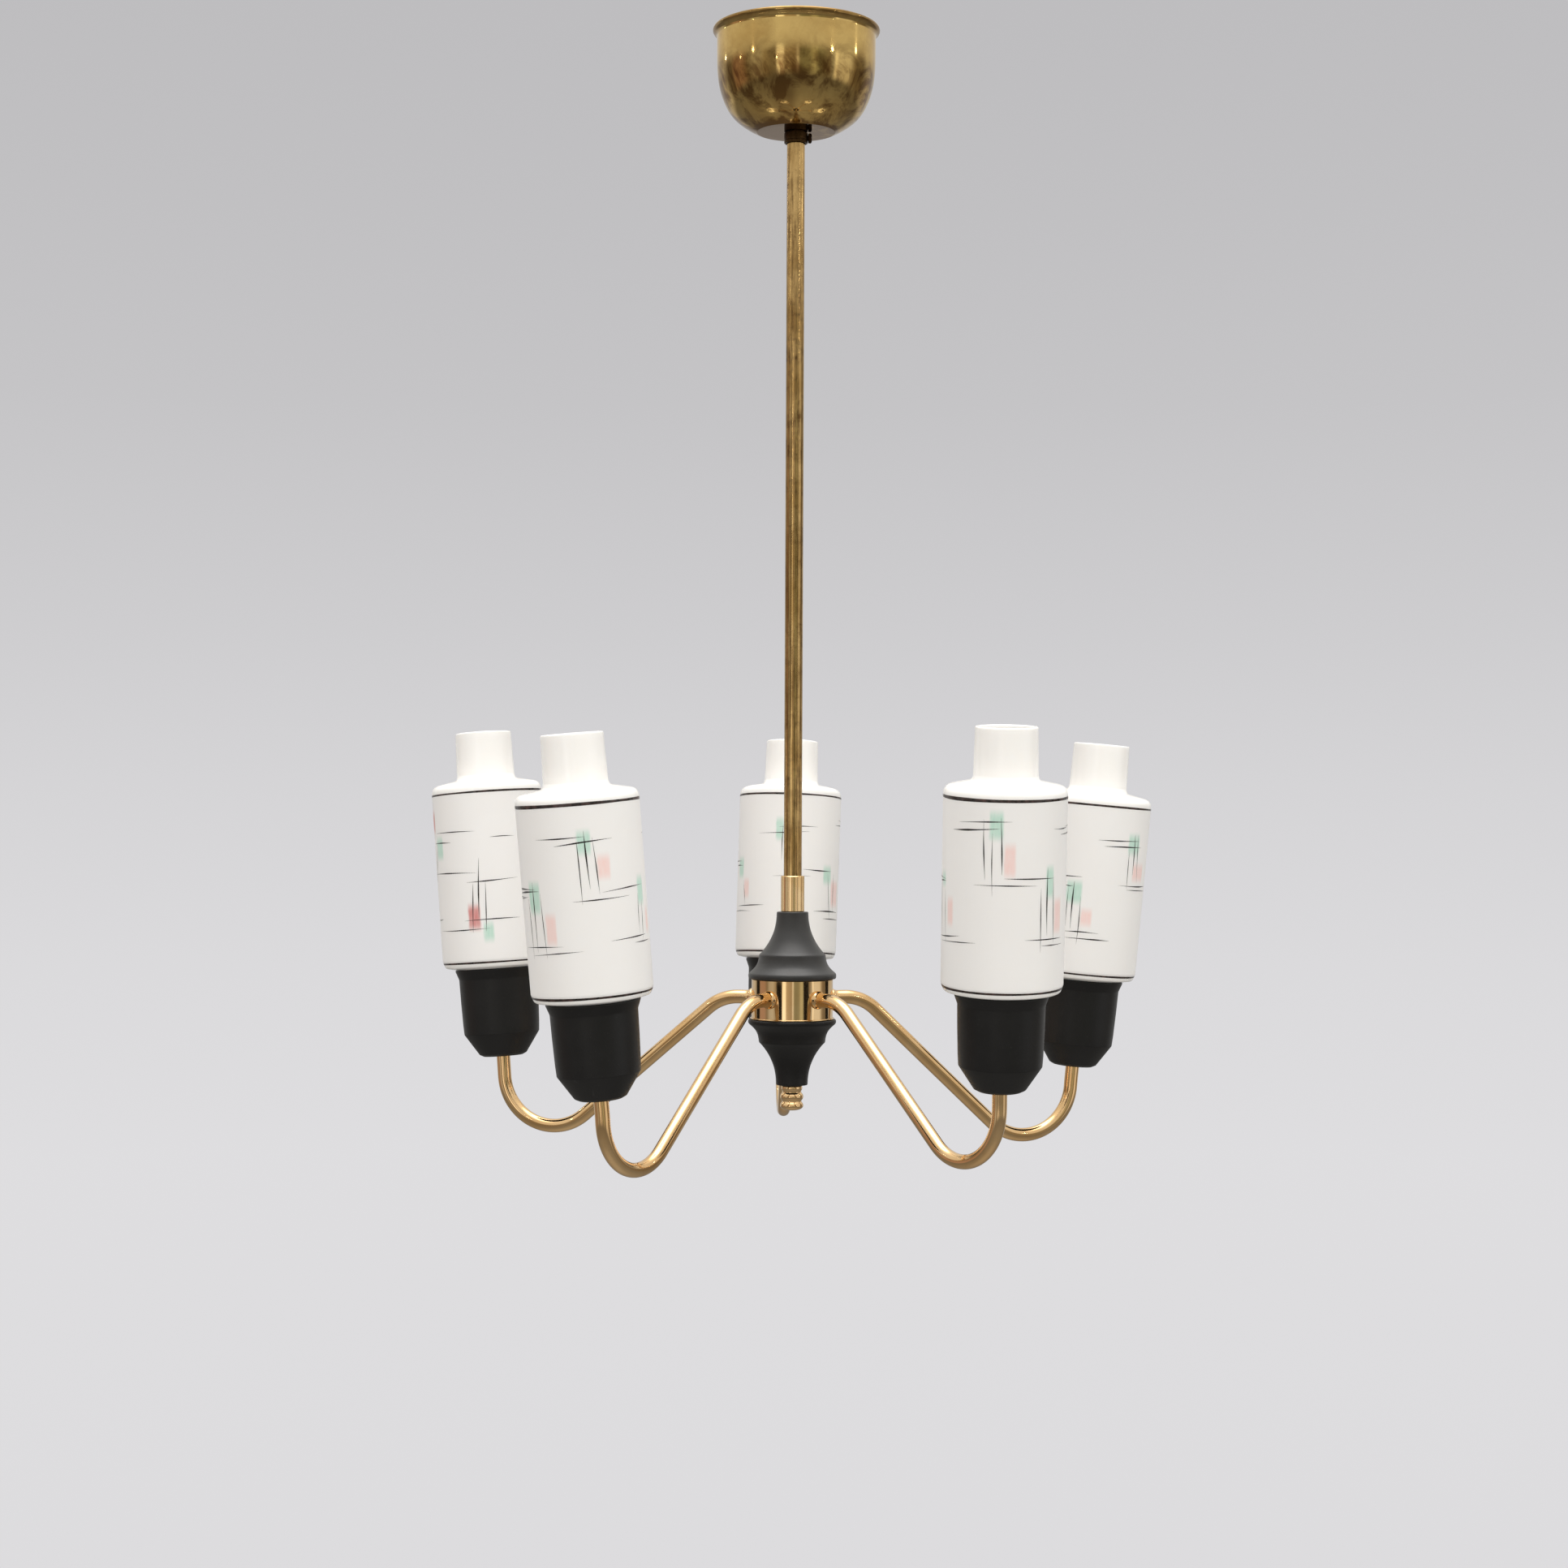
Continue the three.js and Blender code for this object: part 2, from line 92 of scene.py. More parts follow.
class Shape:
    """Collects points, faces and UVs in millimetres."""

    def __init__(self):
        self.v, self.f, self.uv, self.mi = [], [], [], []

    def grid(self, rings, vs, close_u=True, close_v=False, mat=0, flip=False, u0=0.0):
        """rings: lists of equally many points; a list of one point is a pole."""
        n = max(len(r) for r in rings)
        start = []
        for r in rings:
            start.append(len(self.v))
            self.v.extend(tuple(q) for q in r)
        spans = len(rings) if close_v else len(rings) - 1
        for j in range(spans):
            a, b = j, (j + 1) % len(rings)
            va, vb = vs[a], vs[b] if b or not close_v else vs[-1] + (vs[-1] - vs[-2])
            for i in range(n if close_u else n - 1):
                k = (i + 1) % n
                ua, ub = u0 + i / n, u0 + (i + 1) / n
                if len(rings[a]) == 1 and len(rings[b]) == 1:
                    continue
                if len(rings[a]) == 1:
                    f = [start[a], start[b] + k, start[b] + i]
                    t = [((ua + ub) / 2, va), (ub, vb), (ua, vb)]
                elif len(rings[b]) == 1:
                    f = [start[a] + i, start[a] + k, start[b]]
                    t = [(ua, va), (ub, va), ((ua + ub) / 2, vb)]
                else:
                    f = [start[a] + i, start[a] + k, start[b] + k, start[b] + i]
                    t = [(ua, va), (ub, va), (ub, vb), (ua, vb)]
                if flip:
                    f, t = f[::-1], t[::-1]
                self.f.append(f), self.uv.append(t), self.mi.append(mat)
        return self

    def lathe(self, profile, segs=96, closed=False, M=None, vs=None, phase=0.0, mat=0, wobble=None):
        """Turns (r, z) points about Z. wobble(angle, r, z) may change the radius."""
        rings, run, last, auto = [], 0.0, None, []
        for k, (r, z) in enumerate(profile):
            if last is not None:
                run += math.hypot(r - last[0], z - last[1]) * MM
            auto.append(run)
            last = (r, z)
            if r < 1e-6:
                ring = [Vector((0, 0, z))]
            else:
                ring = []
                for i in range(segs):
                    a = phase + TAU * i / segs
                    rr = wobble(a, r, z) if wobble else r
                    ring.append(Vector((rr * math.cos(a), rr * math.sin(a), z)))
            rings.append([M @ q for q in ring] if M else ring)
        return self.grid(rings, vs or auto, close_v=closed, mat=mat)

    def pipe(self, points, tangents, radii, bore=0.0, ring=32, up=None, mat=0):
        """Sweeps a circle along points; a bore makes it a tube."""
        frames, n0 = [], None
        for p, t in zip(points, tangents):
            t = t.normalized()
            if n0 is None:
                ref = up or (Vector((0, 0, 1)) if abs(t.z) < 0.9 else Vector((1, 0, 0)))
                n0 = (ref - t * ref.dot(t)).normalized()
            else:
                n0 = (n0 - t * n0.dot(t)).normalized()
            frames.append((p, n0.copy(), t.cross(n0)))
        vs, run = [], 0.0
        for i, p in enumerate(points):
            if i:
                run += (p - points[i - 1]).length * MM
            vs.append(run)

        def rings(rs):
            return [[p + a * (r * math.cos(TAU * i / ring)) + b * (r * math.sin(TAU * i / ring))
                     for i in range(ring)] for (p, a, b), r in zip(frames, rs)]

        if bore > 0:
            outer, inner = rings(radii), rings([bore] * len(radii))[::-1]
            return self.grid(outer + inner, vs + [vs[-1] + 0.02 + (vs[-1] - q) for q in vs[::-1]],
                             close_v=True, mat=mat)
        body = rings(radii)
        return self.grid([[points[0]]] + body + [[points[-1]]], [vs[0]] + vs + [vs[-1]], mat=mat)


def make(name, shape, body, materials, replaces=(), sharp=32.0, smooth=True):
    me = bpy.data.meshes.new(name)
    me.from_pydata([tuple(c * MM for c in v) for v in shape.v], [], shape.f)
    layer = me.uv_layers.new(name="UVMap")
    data = [c for t in shape.uv for q in t for c in q]
    layer.data.foreach_set("uv", data)
    me.polygons.foreach_set("material_index", shape.mi)
    bm = bmesh.new()
    bm.from_mesh(me)
    bmesh.ops.remove_doubles(bm, verts=bm.verts, dist=1e-7)
    bmesh.ops.recalc_face_normals(bm, faces=bm.faces)
    bm.to_mesh(me)
    bm.free()
    for m in (materials if isinstance(materials, (list, tuple)) else [materials]):
        me.materials.append(m)
    if smooth:
        me.polygons.foreach_set("use_smooth", [True] * len(me.polygons))
        me.set_sharp_from_angle(angle=math.radians(sharp))
    me.update()
    obj = bpy.data.objects.new(name, me)
    bpy.context.scene.collection.objects.link(obj)
    if body:
        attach(obj, body)
    if replaces:
        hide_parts(*replaces)
    return obj


def tool(shape):
    """A loose solid to cut or trim another piece with."""
    return make("cutter", shape, None, [], smooth=False)


def carve(obj, cutters, op="DIFFERENCE", sharp=32.0):
    for c in cutters:
        m = obj.modifiers.new("carve", "BOOLEAN")
        m.operation, m.solver, m.object = op, "EXACT", c
    dg = bpy.context.evaluated_depsgraph_get()
    me = bpy.data.meshes.new_from_object(obj.evaluated_get(dg))
    obj.modifiers.clear()
    old, obj.data = obj.data, me
    me.name = obj.name
    bpy.data.meshes.remove(old)
    for c in cutters:
        mesh = c.data
        bpy.data.objects.remove(c)
        bpy.data.meshes.remove(mesh)
    me.set_sharp_from_angle(angle=math.radians(sharp))
    return obj


def along_x(x=0.0, y=0.0, z=0.0):
    """Turns a shape made about Z so that it lies along +X."""
    return Matrix.Translation((x, y, z)) @ Matrix.Rotation(math.pi / 2, 4, "Y")


def round_bar(r, z0, z1, M=None, segs=32):
    return Shape().lathe([(0, z0), (r, z0), (r, z1), (0, z1)], segs, M=M)


def block(x0, x1, y0, y1, z0, z1, M=None):
    s = Shape()
    c = [Vector((x, y, z)) for z in (z0, z1) for y in (y0, y1) for x in (x0, x1)]
    s.v = [tuple(M @ q if M else q) for q in c]
    for f in ((0, 2, 3, 1), (4, 5, 7, 6), (0, 1, 5, 4), (2, 6, 7, 3), (0, 4, 6, 2), (1, 3, 7, 5)):
        s.f.append(list(f)), s.uv.append([(0, 0), (1, 0), (1, 1), (0, 1)]), s.mi.append(0)
    return s


# ------------------------------------------------------------- materials
class Mat:
    """A procedural material, written as a chain of sockets."""

    def __init__(self, name, **fixed):
        self.m = bpy.data.materials.new(name)
        self.m.use_nodes = True
        self.t = self.m.node_tree
        self.t.nodes.clear()
        self.out = self.t.nodes.new("ShaderNodeOutputMaterial")
        self.b = self.t.nodes.new("ShaderNodeBsdfPrincipled")
        self.t.links.new(self.b.outputs[0], self.out.inputs[0])
        self.tc = self.t.nodes.new("ShaderNodeTexCoord")
        self.obj, self.uvs = self.tc.outputs["Object"], self.tc.outputs["UV"]
        for k, v in fixed.items():
            self.b.inputs[k.replace("_", " ")].default_value = v

    def node(self, kind, **props):
        n = self.t.nodes.new(kind)
        for k, v in props.items():
            setattr(n, k, v)
        return n

    def put(self, socket, value):
        if isinstance(value, bpy.types.NodeSocket):
            self.t.links.new(value, socket)
        else:
            socket.default_value = value

    def math(self, op, a, b=None, clamp=False):
        n = self.node("ShaderNodeMath", operation=op, use_clamp=clamp)
        self.put(n.inputs[0], a)
        if b is not None:
            self.put(n.inputs[1], b)
        return n.outputs[0]

    def ramp(self, fac, stops, mode="LINEAR"):
        n = self.node("ShaderNodeValToRGB")
        n.color_ramp.interpolation = mode
        e = n.color_ramp.elements
        while len(e) < len(stops):
            e.new(0.5)
        for el, (pos, col) in zip(e, stops):
            el.position = pos
            el.color = (*col, 1) if isinstance(col, (tuple, list)) else (col, col, col, 1)
        self.put(n.inputs[0], fac)
        return n.outputs[0]

    def step(self, x, lo, hi):
        """0 below lo, 1 above hi, smooth between."""
        n = self.node("ShaderNodeMapRange", interpolation_type="SMOOTHSTEP")
        self.put(n.inputs[0], x)
        n.inputs[1].default_value, n.inputs[2].default_value = lo, hi
        n.inputs[3].default_value, n.inputs[4].default_value = 0, 1
        return n.outputs[0]

    def span(self, x, a, b):
        """A 0-to-1 value spread over a to b."""
        n = self.node("ShaderNodeMapRange")
        self.put(n.inputs[0], x)
        n.inputs[1].default_value, n.inputs[2].default_value = 0, 1
        n.inputs[3].default_value, n.inputs[4].default_value = a, b
        return n.outputs[0]

    def mix(self, fac, a, b, mode="MIX"):
        n = self.node("ShaderNodeMix", data_type="RGBA", blend_type=mode)
        self.put(n.inputs[0], fac)
        self.put(n.inputs[6], (*a, 1) if isinstance(a, tuple) and len(a) == 3 else a)
        self.put(n.inputs[7], (*b, 1) if isinstance(b, tuple) and len(b) == 3 else b)
        return n.outputs[2]

    def noise(self, vec, scale, detail=3.0, rough=0.55, distort=0.0):
        n = self.node("ShaderNodeTexNoise")
        self.put(n.inputs["Vector"], vec)
        n.inputs["Scale"].default_value = scale
        n.inputs["Detail"].default_value = detail
        n.inputs["Roughness"].default_value = rough
        n.inputs["Distortion"].default_value = distort
        return n.outputs[0]

    def stretch(self, vec, scale, loc=(0, 0, 0)):
        n = self.node("ShaderNodeMapping")
        self.put(n.inputs["Vector"], vec)
        n.inputs["Scale"].default_value = scale
        n.inputs["Location"].default_value = loc
        return n.outputs[0]

    def xyz(self, vec):
        n = self.node("ShaderNodeSeparateXYZ")
        self.put(n.inputs[0], vec)
        return n.outputs[0], n.outputs[1], n.outputs[2]

    def around(self, ku, kv):
        """A seamless vector round a turned or drawn piece: ku round it, kv along it."""
        u, v, _ = self.xyz(self.uvs)
        a = self.math("MULTIPLY", u, TAU)
        n = self.node("ShaderNodeCombineXYZ")
        self.put(n.inputs[0], self.math("MULTIPLY", self.math("COSINE", a), ku))
        self.put(n.inputs[1], self.math("MULTIPLY", self.math("SINE", a), ku))
        self.put(n.inputs[2], self.math("MULTIPLY", v, kv))
        return n.outputs[0]

    def bump(self, height, distance, strength=1.0, chain=None):
        n = self.node("ShaderNodeBump")
        n.inputs["Strength"].default_value = strength
        n.inputs["Distance"].default_value = distance
        self.put(n.inputs["Height"], height)
        if chain is not None:
            self.put(n.inputs["Normal"], chain)
        return n.outputs[0]

    def set(self, **kw):
        for k, v in kw.items():
            s = self.b.inputs[k.replace("_", " ")]
            self.put(s, (*v, 1) if isinstance(v, tuple) and len(v) == 3 and s.type == "RGBA" else v)
        return self


def brass(name, light, deep, rough, tarnish_and_shade, spots=0.5, grain=(90.0, 14.0), film_and_shade=None, film_amount=0.0,
          bump=0.00002, freckle=900.0):
    """Bare brass: two golds in clouds, dark freckles, polishing grain, smudges."""
    m = Mat(name, Metallic=1.0)
    cloud = m.noise(m.obj, 21.0, 5.0, 0.6, 0.4)
    fine = m.noise(m.obj, 160.0, 4.0, 0.65)
    line = m.noise(m.around(*grain), 1.0, 3.0, 0.6)
    col = m.mix(m.step(cloud, 0.36, 0.66), light, deep)
    col = m.mix(m.math("MULTIPLY", m.step(line, 0.45, 0.75), 0.35), col, deep)
    freck = m.step(m.noise(m.obj, freckle, 2.0, 0.5), 0.70 - 0.06 * spots, 0.80)
    patch = m.step(m.noise(m.obj, 48.0, 5.0, 0.7), 0.60 - 0.1 * spots, 0.74)
    dark = m.math("MAXIMUM", m.math("MULTIPLY", freck, 0.55 * min(1.0, spots * 1.4)), m.math("MULTIPLY", patch, 0.4 * spots))
    col = m.mix(m.math("MULTIPLY", dark, 0.85), col, tarnish_and_shade)
    # The film darkens the brass towards the dark colour: patina on the rod, patina plus painted shade on the canopy.
    if film_and_shade:
        col = m.mix(film_and_shade(m, cloud, fine, line), col, tarnish_and_shade)
    smudge = m.noise(m.obj, 34.0, 4.0, 0.6, 0.8)
    r = m.math("ADD", m.span(smudge, rough[0], rough[1]), m.math("MULTIPLY", dark, 0.22))
    r = m.math("ADD", r, m.math("MULTIPLY", m.math("SUBTRACT", line, 0.5), 0.10), clamp=True)
    n = m.bump(line, bump)
    n = m.bump(fine, bump * 0.8, chain=n)
    return m.set(Base_Color=col, Roughness=r, Normal=n).m


BRASS = brass("brass_arms", (0.86, 0.595, 0.315), (0.78, 0.50, 0.235), (0.07, 0.13), (0.26, 0.15, 0.06),
              spots=0.10, grain=(5.0, 14.0), bump=0.000001)
HUB = brass("brass_hub", (0.87, 0.63, 0.35), (0.81, 0.55, 0.27), (0.05, 0.10), (0.26, 0.15, 0.06),
            spots=0.08, grain=(6.0, 60.0), bump=0.000001)
SLEEVE = brass("brass_sleeve", (0.86, 0.62, 0.34), (0.78, 0.52, 0.24), (0.11, 0.17), (0.26, 0.15, 0.06),
               spots=0.12, grain=(6.0, 60.0), bump=0.000002)


def rod_film(m, cloud, fine, line):
    streak = m.noise(m.around(2.6, 26.0), 1.0, 6.0, 0.72, 0.3)
    bands = m.noise(m.around(0.25, 46.0), 1.0, 4.0, 0.7)
    a = m.math("MULTIPLY", m.step(streak, 0.40, 0.66), 0.62)
    b = m.math("MULTIPLY", m.step(bands, 0.47, 0.70), 0.38)
    c = m.math("MULTIPLY", m.step(fine, 0.50, 0.70), 0.30)
    return m.math("ADD", m.math("ADD", a, b), c, clamp=True)


ROD = brass("brass_rod", (0.66, 0.45, 0.19), (0.46, 0.29, 0.105), (0.13, 0.22), (0.150, 0.080, 0.028),
            spots=0.7, grain=(12.0, 30.0), film_and_shade=rod_film, bump=0.00001, freckle=700.0)


def canopy_patina_and_shade(m, cloud, fine, line):
    _, _, z = m.xyz(m.obj)
    # Mottled patina patches, plus painted shade: the brass is darkened towards the bottom of the bowl, on the rolled
    # top rim and on the flat disc round the hole.
    low = m.step(m.math("MULTIPLY", z, -1.0), 0.018, 0.042)
    disc = m.step(m.math("MULTIPLY", z, -1.0), 0.0735, 0.0749)
    rim = m.step(z, -0.0075, -0.003)
    mott = m.noise(m.obj, 42.0, 6.0, 0.68, 0.9)
    big = m.noise(m.obj, 17.0, 3.0, 0.5, 0.5)
    a = m.math("MULTIPLY", m.step(mott, 0.42, 0.64), m.math("ADD", m.math("MULTIPLY", low, 0.62), 0.14))
    b = m.math("MULTIPLY", m.step(big, 0.44, 0.62), m.math("ADD", m.math("MULTIPLY", low, 0.50), 0.08))
    c = m.math("ADD", m.math("MULTIPLY", rim, 0.72), m.math("ADD", m.math("MULTIPLY", low, 0.26), m.math("MULTIPLY", disc, 0.5)))
    return m.math("ADD", m.math("ADD", a, b), c, clamp=True)


# The canopy's dark colour serves both its patina and the painted shade at the bowl's bottom, rim and disc.
CANOPY = brass("brass_canopy", (0.80, 0.57, 0.21), (0.62, 0.405, 0.135), (0.045, 0.12), (0.20, 0.105, 0.032),
               spots=0.5, grain=(2.0, 30.0), film_and_shade=canopy_patina_and_shade, bump=0.000002)
INSIDE = brass("brass_inside", (0.46, 0.31, 0.13), (0.34, 0.21, 0.08), (0.34, 0.5), (0.14, 0.08, 0.03),
               spots=1.0, grain=(3.0, 500.0), bump=0.00003)


def plain_metal(name, col, deep, rough, grain=(4.0, 600.0), bump=0.00002, metal=1.0):
    m = Mat(name, Metallic=metal)
    a = m.noise(m.obj, 55.0, 5.0, 0.65, 0.3)
    line = m.noise(m.around(*grain), 1.0, 3.0, 0.6)
    c = m.mix(m.step(a, 0.4, 0.68), col, deep)
    c = m.mix(m.math("MULTIPLY", m.step(m.noise(m.obj, 500.0, 2.0, 0.5), 0.62, 0.8), 0.5), c, deep)
    r = m.math("ADD", m.span(a, rough[0], rough[1]), m.math("MULTIPLY", m.math("SUBTRACT", line, 0.5), 0.12), clamp=True)
    return m.set(Base_Color=c, Roughness=r, Normal=m.bump(line, bump)).m


BRONZE = plain_metal("bronze_dark", (0.085, 0.046, 0.018), (0.040, 0.020, 0.008), (0.32, 0.55))
STEEL = plain_metal("steel_zinc", (0.52, 0.52, 0.50), (0.34, 0.33, 0.30), (0.28, 0.5))
NICKEL = plain_metal("nickel_cap", (0.66, 0.65, 0.62), (0.48, 0.46, 0.42), (0.2, 0.38))
TERMINAL_BRASS = plain_metal("terminal_brass", (0.62, 0.45, 0.20), (0.40, 0.27, 0.11), (0.3, 0.5))


def lacquer(name, base, worn_and_highlit, rough, sheen, edges, spec):
    """Black stoving lacquer on turned metal: fine orange peel, soft scuffs, and sharp edges paler, partly wear and
    partly a painted highlight.
    """
    m = Mat(name, Metallic=0.0)
    m.b.inputs["IOR"].default_value = 1.5
    m.b.inputs["Sheen Weight"].default_value = sheen
    m.b.inputs["Sheen Roughness"].default_value = 0.5
    m.b.inputs["Specular IOR Level"].default_value = spec
    peel = m.noise(m.obj, 820.0, 2.0, 0.5)
    cloud = m.noise(m.obj, 38.0, 5.0, 0.62, 0.5)
    scuff = m.noise(m.around(5.0, 420.0), 1.0, 4.0, 0.7)
    geo = m.node("ShaderNodeNewGeometry")
    # Sharp edges are painted paler: partly worn lacquer, partly a painted highlight along the rims.
    edge = m.step(geo.outputs["Pointiness"], 0.525, 0.60)
    edge_wear_and_highlight = m.math("MULTIPLY", edge, m.step(m.noise(m.obj, 140.0, 4.0, 0.7), 0.42, 0.66))
    dust = m.math("MULTIPLY", m.step(m.noise(m.obj, 1500.0, 1.0, 0.5), 0.74, 0.80), 0.35)
    c = m.mix(m.step(cloud, 0.35, 0.7), base, tuple(q * 1.35 for q in base))
    c = m.mix(m.math("MULTIPLY", edge_wear_and_highlight, edges), c, worn_and_highlit)
    c = m.mix(dust, c, (0.10, 0.097, 0.09))
    r = m.math("ADD", m.span(cloud, rough[0], rough[1]), m.math("MULTIPLY", m.math("SUBTRACT", scuff, 0.5), 0.12), clamp=True)
    n = m.bump(peel, 0.00003)
    n = m.bump(scuff, 0.000012, chain=n)
    return m.set(Base_Color=c, Roughness=r, Normal=n).m


CAP = lacquer("black_lacquer_caps", (0.0145, 0.0142, 0.014), (0.13, 0.125, 0.12), (0.36, 0.50), 0.04, 0.25, 0.62)
# A darker, less glossy copy of the same black lacquer: painted shade for the cups and the lower cap, which face
# sideways and down.
LACQUER_SHADED = lacquer("black_lacquer_shaded", (0.0062, 0.0061, 0.0063), (0.07, 0.07, 0.07), (0.38, 0.50), 0.0, 0.15, 0.34)

def enamel():
    m = Mat("black_enamel", Metallic=0.0)
    a = m.noise(m.obj, 420.0, 4.0, 0.6)
    c = m.mix(m.step(a, 0.45, 0.75), (0.012, 0.011, 0.011), (0.060, 0.050, 0.046))
    return m.set(Base_Color=c, Roughness=m.span(a, 0.22, 0.42), Normal=m.bump(a, 0.00001)).m


def band_enamel():
    m = Mat("brown_black_enamel", Metallic=0.0)
    a = m.noise(m.obj, 260.0, 4.0, 0.6)
    c = m.mix(m.step(a, 0.40, 0.72), (0.014, 0.010, 0.009), (0.075, 0.040, 0.036))
    return m.set(Base_Color=c, Roughness=m.span(a, 0.2, 0.38), Normal=m.bump(a, 0.00001)).m


def opal(name, patches):
    """Opal glass: matt etched body between the two bands, fired gloss elsewhere,
    with soft brushed patches of transparent colour. UV is the angle (0 to 1,
    0.5 facing front) and the height up the lamp in units of 300 mm."""
    m = Mat(name, Metallic=0.0)
    m.b.inputs["IOR"].default_value = 1.5
    m.b.inputs["Subsurface Weight"].default_value = 0.35
    m.b.inputs["Subsurface Radius"].default_value = (0.9, 0.85, 0.8)
    m.b.inputs["Subsurface Scale"].default_value = 0.004
    u, v, _ = m.xyz(m.uvs)
    t = m.math("MULTIPLY", v, 300.0)
    body = m.math("MULTIPLY", m.step(t, 69.6, 70.8), m.math("SUBTRACT", 1.0, m.step(t, 194.7, 195.9)))
    cloud = m.noise(m.obj, 26.0, 3.0, 0.5)
    c = m.mix(body, (0.945, 0.925, 0.905), m.mix(cloud, (0.884, 0.868, 0.860), (0.904, 0.891, 0.884)))
    soot = m.math("MULTIPLY", m.step(m.noise(m.obj, 300.0, 4.0, 0.6), 0.62, 0.82), 0.05)
    c = m.mix(soot, c, (0.55, 0.5, 0.44))
    wash = m.noise(m.around(26.0, 40.0), 1.0, 4.0, 0.6)
    tints = {"g": (0.42, 0.71, 0.58), "p": (0.93, 0.62, 0.58), "r": (0.62, 0.155, 0.14)}
    strength = {"g": 0.80, "p": 0.78, "r": 0.90}
    for kind in "gpr":
        total = None
        for k, a0, a1, t0, t1 in patches:
            if k != kind:
                continue
            uc, hu = ((a0 + a1) / 2 + 180) / 360, (a1 - a0) / 720
            tc, ht = (t0 + t1) / 2, (t1 - t0) / 2
            wu = m.math("ADD", u, m.math("MULTIPLY", m.math("SUBTRACT", wash, 0.5), 0.006))
            mu = m.step(m.math("SUBTRACT", hu, m.math("ABSOLUTE", m.math("SUBTRACT", wu, uc))), -0.0030, 0.0050)
            mt = m.step(m.math("SUBTRACT", ht, m.math("ABSOLUTE", m.math("SUBTRACT", t, tc))), -2.2, 5.5)
            mk = m.math("MULTIPLY", mu, mt)
            total = mk if total is None else m.math("MAXIMUM", total, mk)
        if total is not None:
            s = m.math("MULTIPLY", total, m.span(wash, strength[kind] * 0.55, strength[kind] * 1.15))
            c = m.mix(s, c, tints[kind])
    rough = m.math("ADD", m.math("MULTIPLY", body, 0.26), m.span(cloud, 0.12, 0.18))
    peel = m.noise(m.obj, 240.0, 2.0, 0.5)
    return m.set(Base_Color=c, Roughness=rough, Normal=m.bump(peel, 0.000025)).m


def simple(name, a, b, rough, scale, bump, **fixed):
    m = Mat(name, **fixed)
    n = m.noise(m.obj, scale, 5.0, 0.6, 0.2)
    f = m.noise(m.obj, scale * 9, 2.0, 0.5)
    c = m.mix(m.step(n, 0.35, 0.7), a, b)
    return m.set(Base_Color=c, Roughness=m.span(n, *rough), Normal=m.bump(f, bump)).m


BULB = simple("bulb_opal", (0.90, 0.88, 0.84), (0.86, 0.84, 0.80), (0.16, 0.3), 40.0, 0.00001,
              Subsurface_Weight=0.25, Subsurface_Scale=0.004)
PHENOLIC = simple("phenolic_brown", (0.030, 0.018, 0.012), (0.052, 0.031, 0.020), (0.28, 0.46), 60.0, 0.00002)
CERAMIC = simple("ceramic_cream", (0.80, 0.77, 0.70), (0.70, 0.66, 0.58), (0.2, 0.4), 50.0, 0.00003)
SHEATH = simple("cable_sheath", (0.74, 0.71, 0.63), (0.62, 0.58, 0.50), (0.45, 0.6), 70.0, 0.00003)
STROKE = enamel()
BAND = band_enamel()

# ------------------------------------------------------- ceiling fittings
# Spun canopy: rolled rim, straight wall, bowl, flat disc pressed round the hole.
bead = [(56.62, -1.9), (56.75, -1.1), (57.2, -0.5), (57.8, -0.12), (58.5, 0.0), (59.2, -0.1), (59.8, -0.5),
        (60.22, -1.1), (60.38, -1.9), (60.3, -2.7), (59.9, -3.4), (59.2, -4.0), (58.4, -4.5), (57.75, -5.2), (57.4, -6.1)]
wall = spline([(57.4, -6.1), (57.35, -12), (57.3, -20), (57.15, -28), (56.75, -34), (56.0, -40), (54.9, -45), (53.4, -50),
               (51.3, -55), (48.6, -60), (44.6, -65), (39.5, -69.2), (33.6, -72.9), (30.2, -74.5)], 5)
disc = [(29.4, -74.85), (28.9, -75.05), (28.6, -75.3), (28.2, -75.39), (27.6, -75.4), (20, -75.4), (12, -75.4), (8.3, -75.4), (8.0, -75.2)]
outer = bead + wall[1:] + disc
inner = [(8.0, -73.7), (8.2, -73.5), (14, -73.5), (27.4, -73.4)] + spline(
    [(29.2, -72.9), (33.4, -70.7), (42.2, -63.9), (47.4, -57.8), (51.2, -49.5), (54.0, -38), (55.1, -26), (55.4, -14), (55.7, -6)], 3) + [(56.3, -3.4)]
ring_n = 160
full = Shape()
full.lathe(outer + inner, 160, closed=True)
cut_at = len(outer)
full.mi = [0 if i // ring_n < cut_at else 1 for i in range(len(full.f))]
make("canopy_shell", full, "canopy", [CANOPY, INSIDE], ["canopy"])

collar = Shape().lathe(rounded([
    (6.8, -83.4, .3), (8.1, -83.4, .0), (8.5, -83.0, .2), (8.5, -81.8, .1), (8.15, -81.5, .1), (8.15, -81.2, .1), (8.5, -80.9, .1), (8.5, -76.2, .2), (8.2, -75.75, .1),
    (7.7, -75.7, 0), (7.7, -69.7, .2), (7.4, -69.4, .1), (6.8, -69.4, .2)], closed=True), 72, closed=True)
collar = make("collar_body", collar, "canopy", BRONZE, ["canopy_collar"])
carve(collar, [tool(round_bar(2.3, 4, 12, along_x(z=-79.5)))])


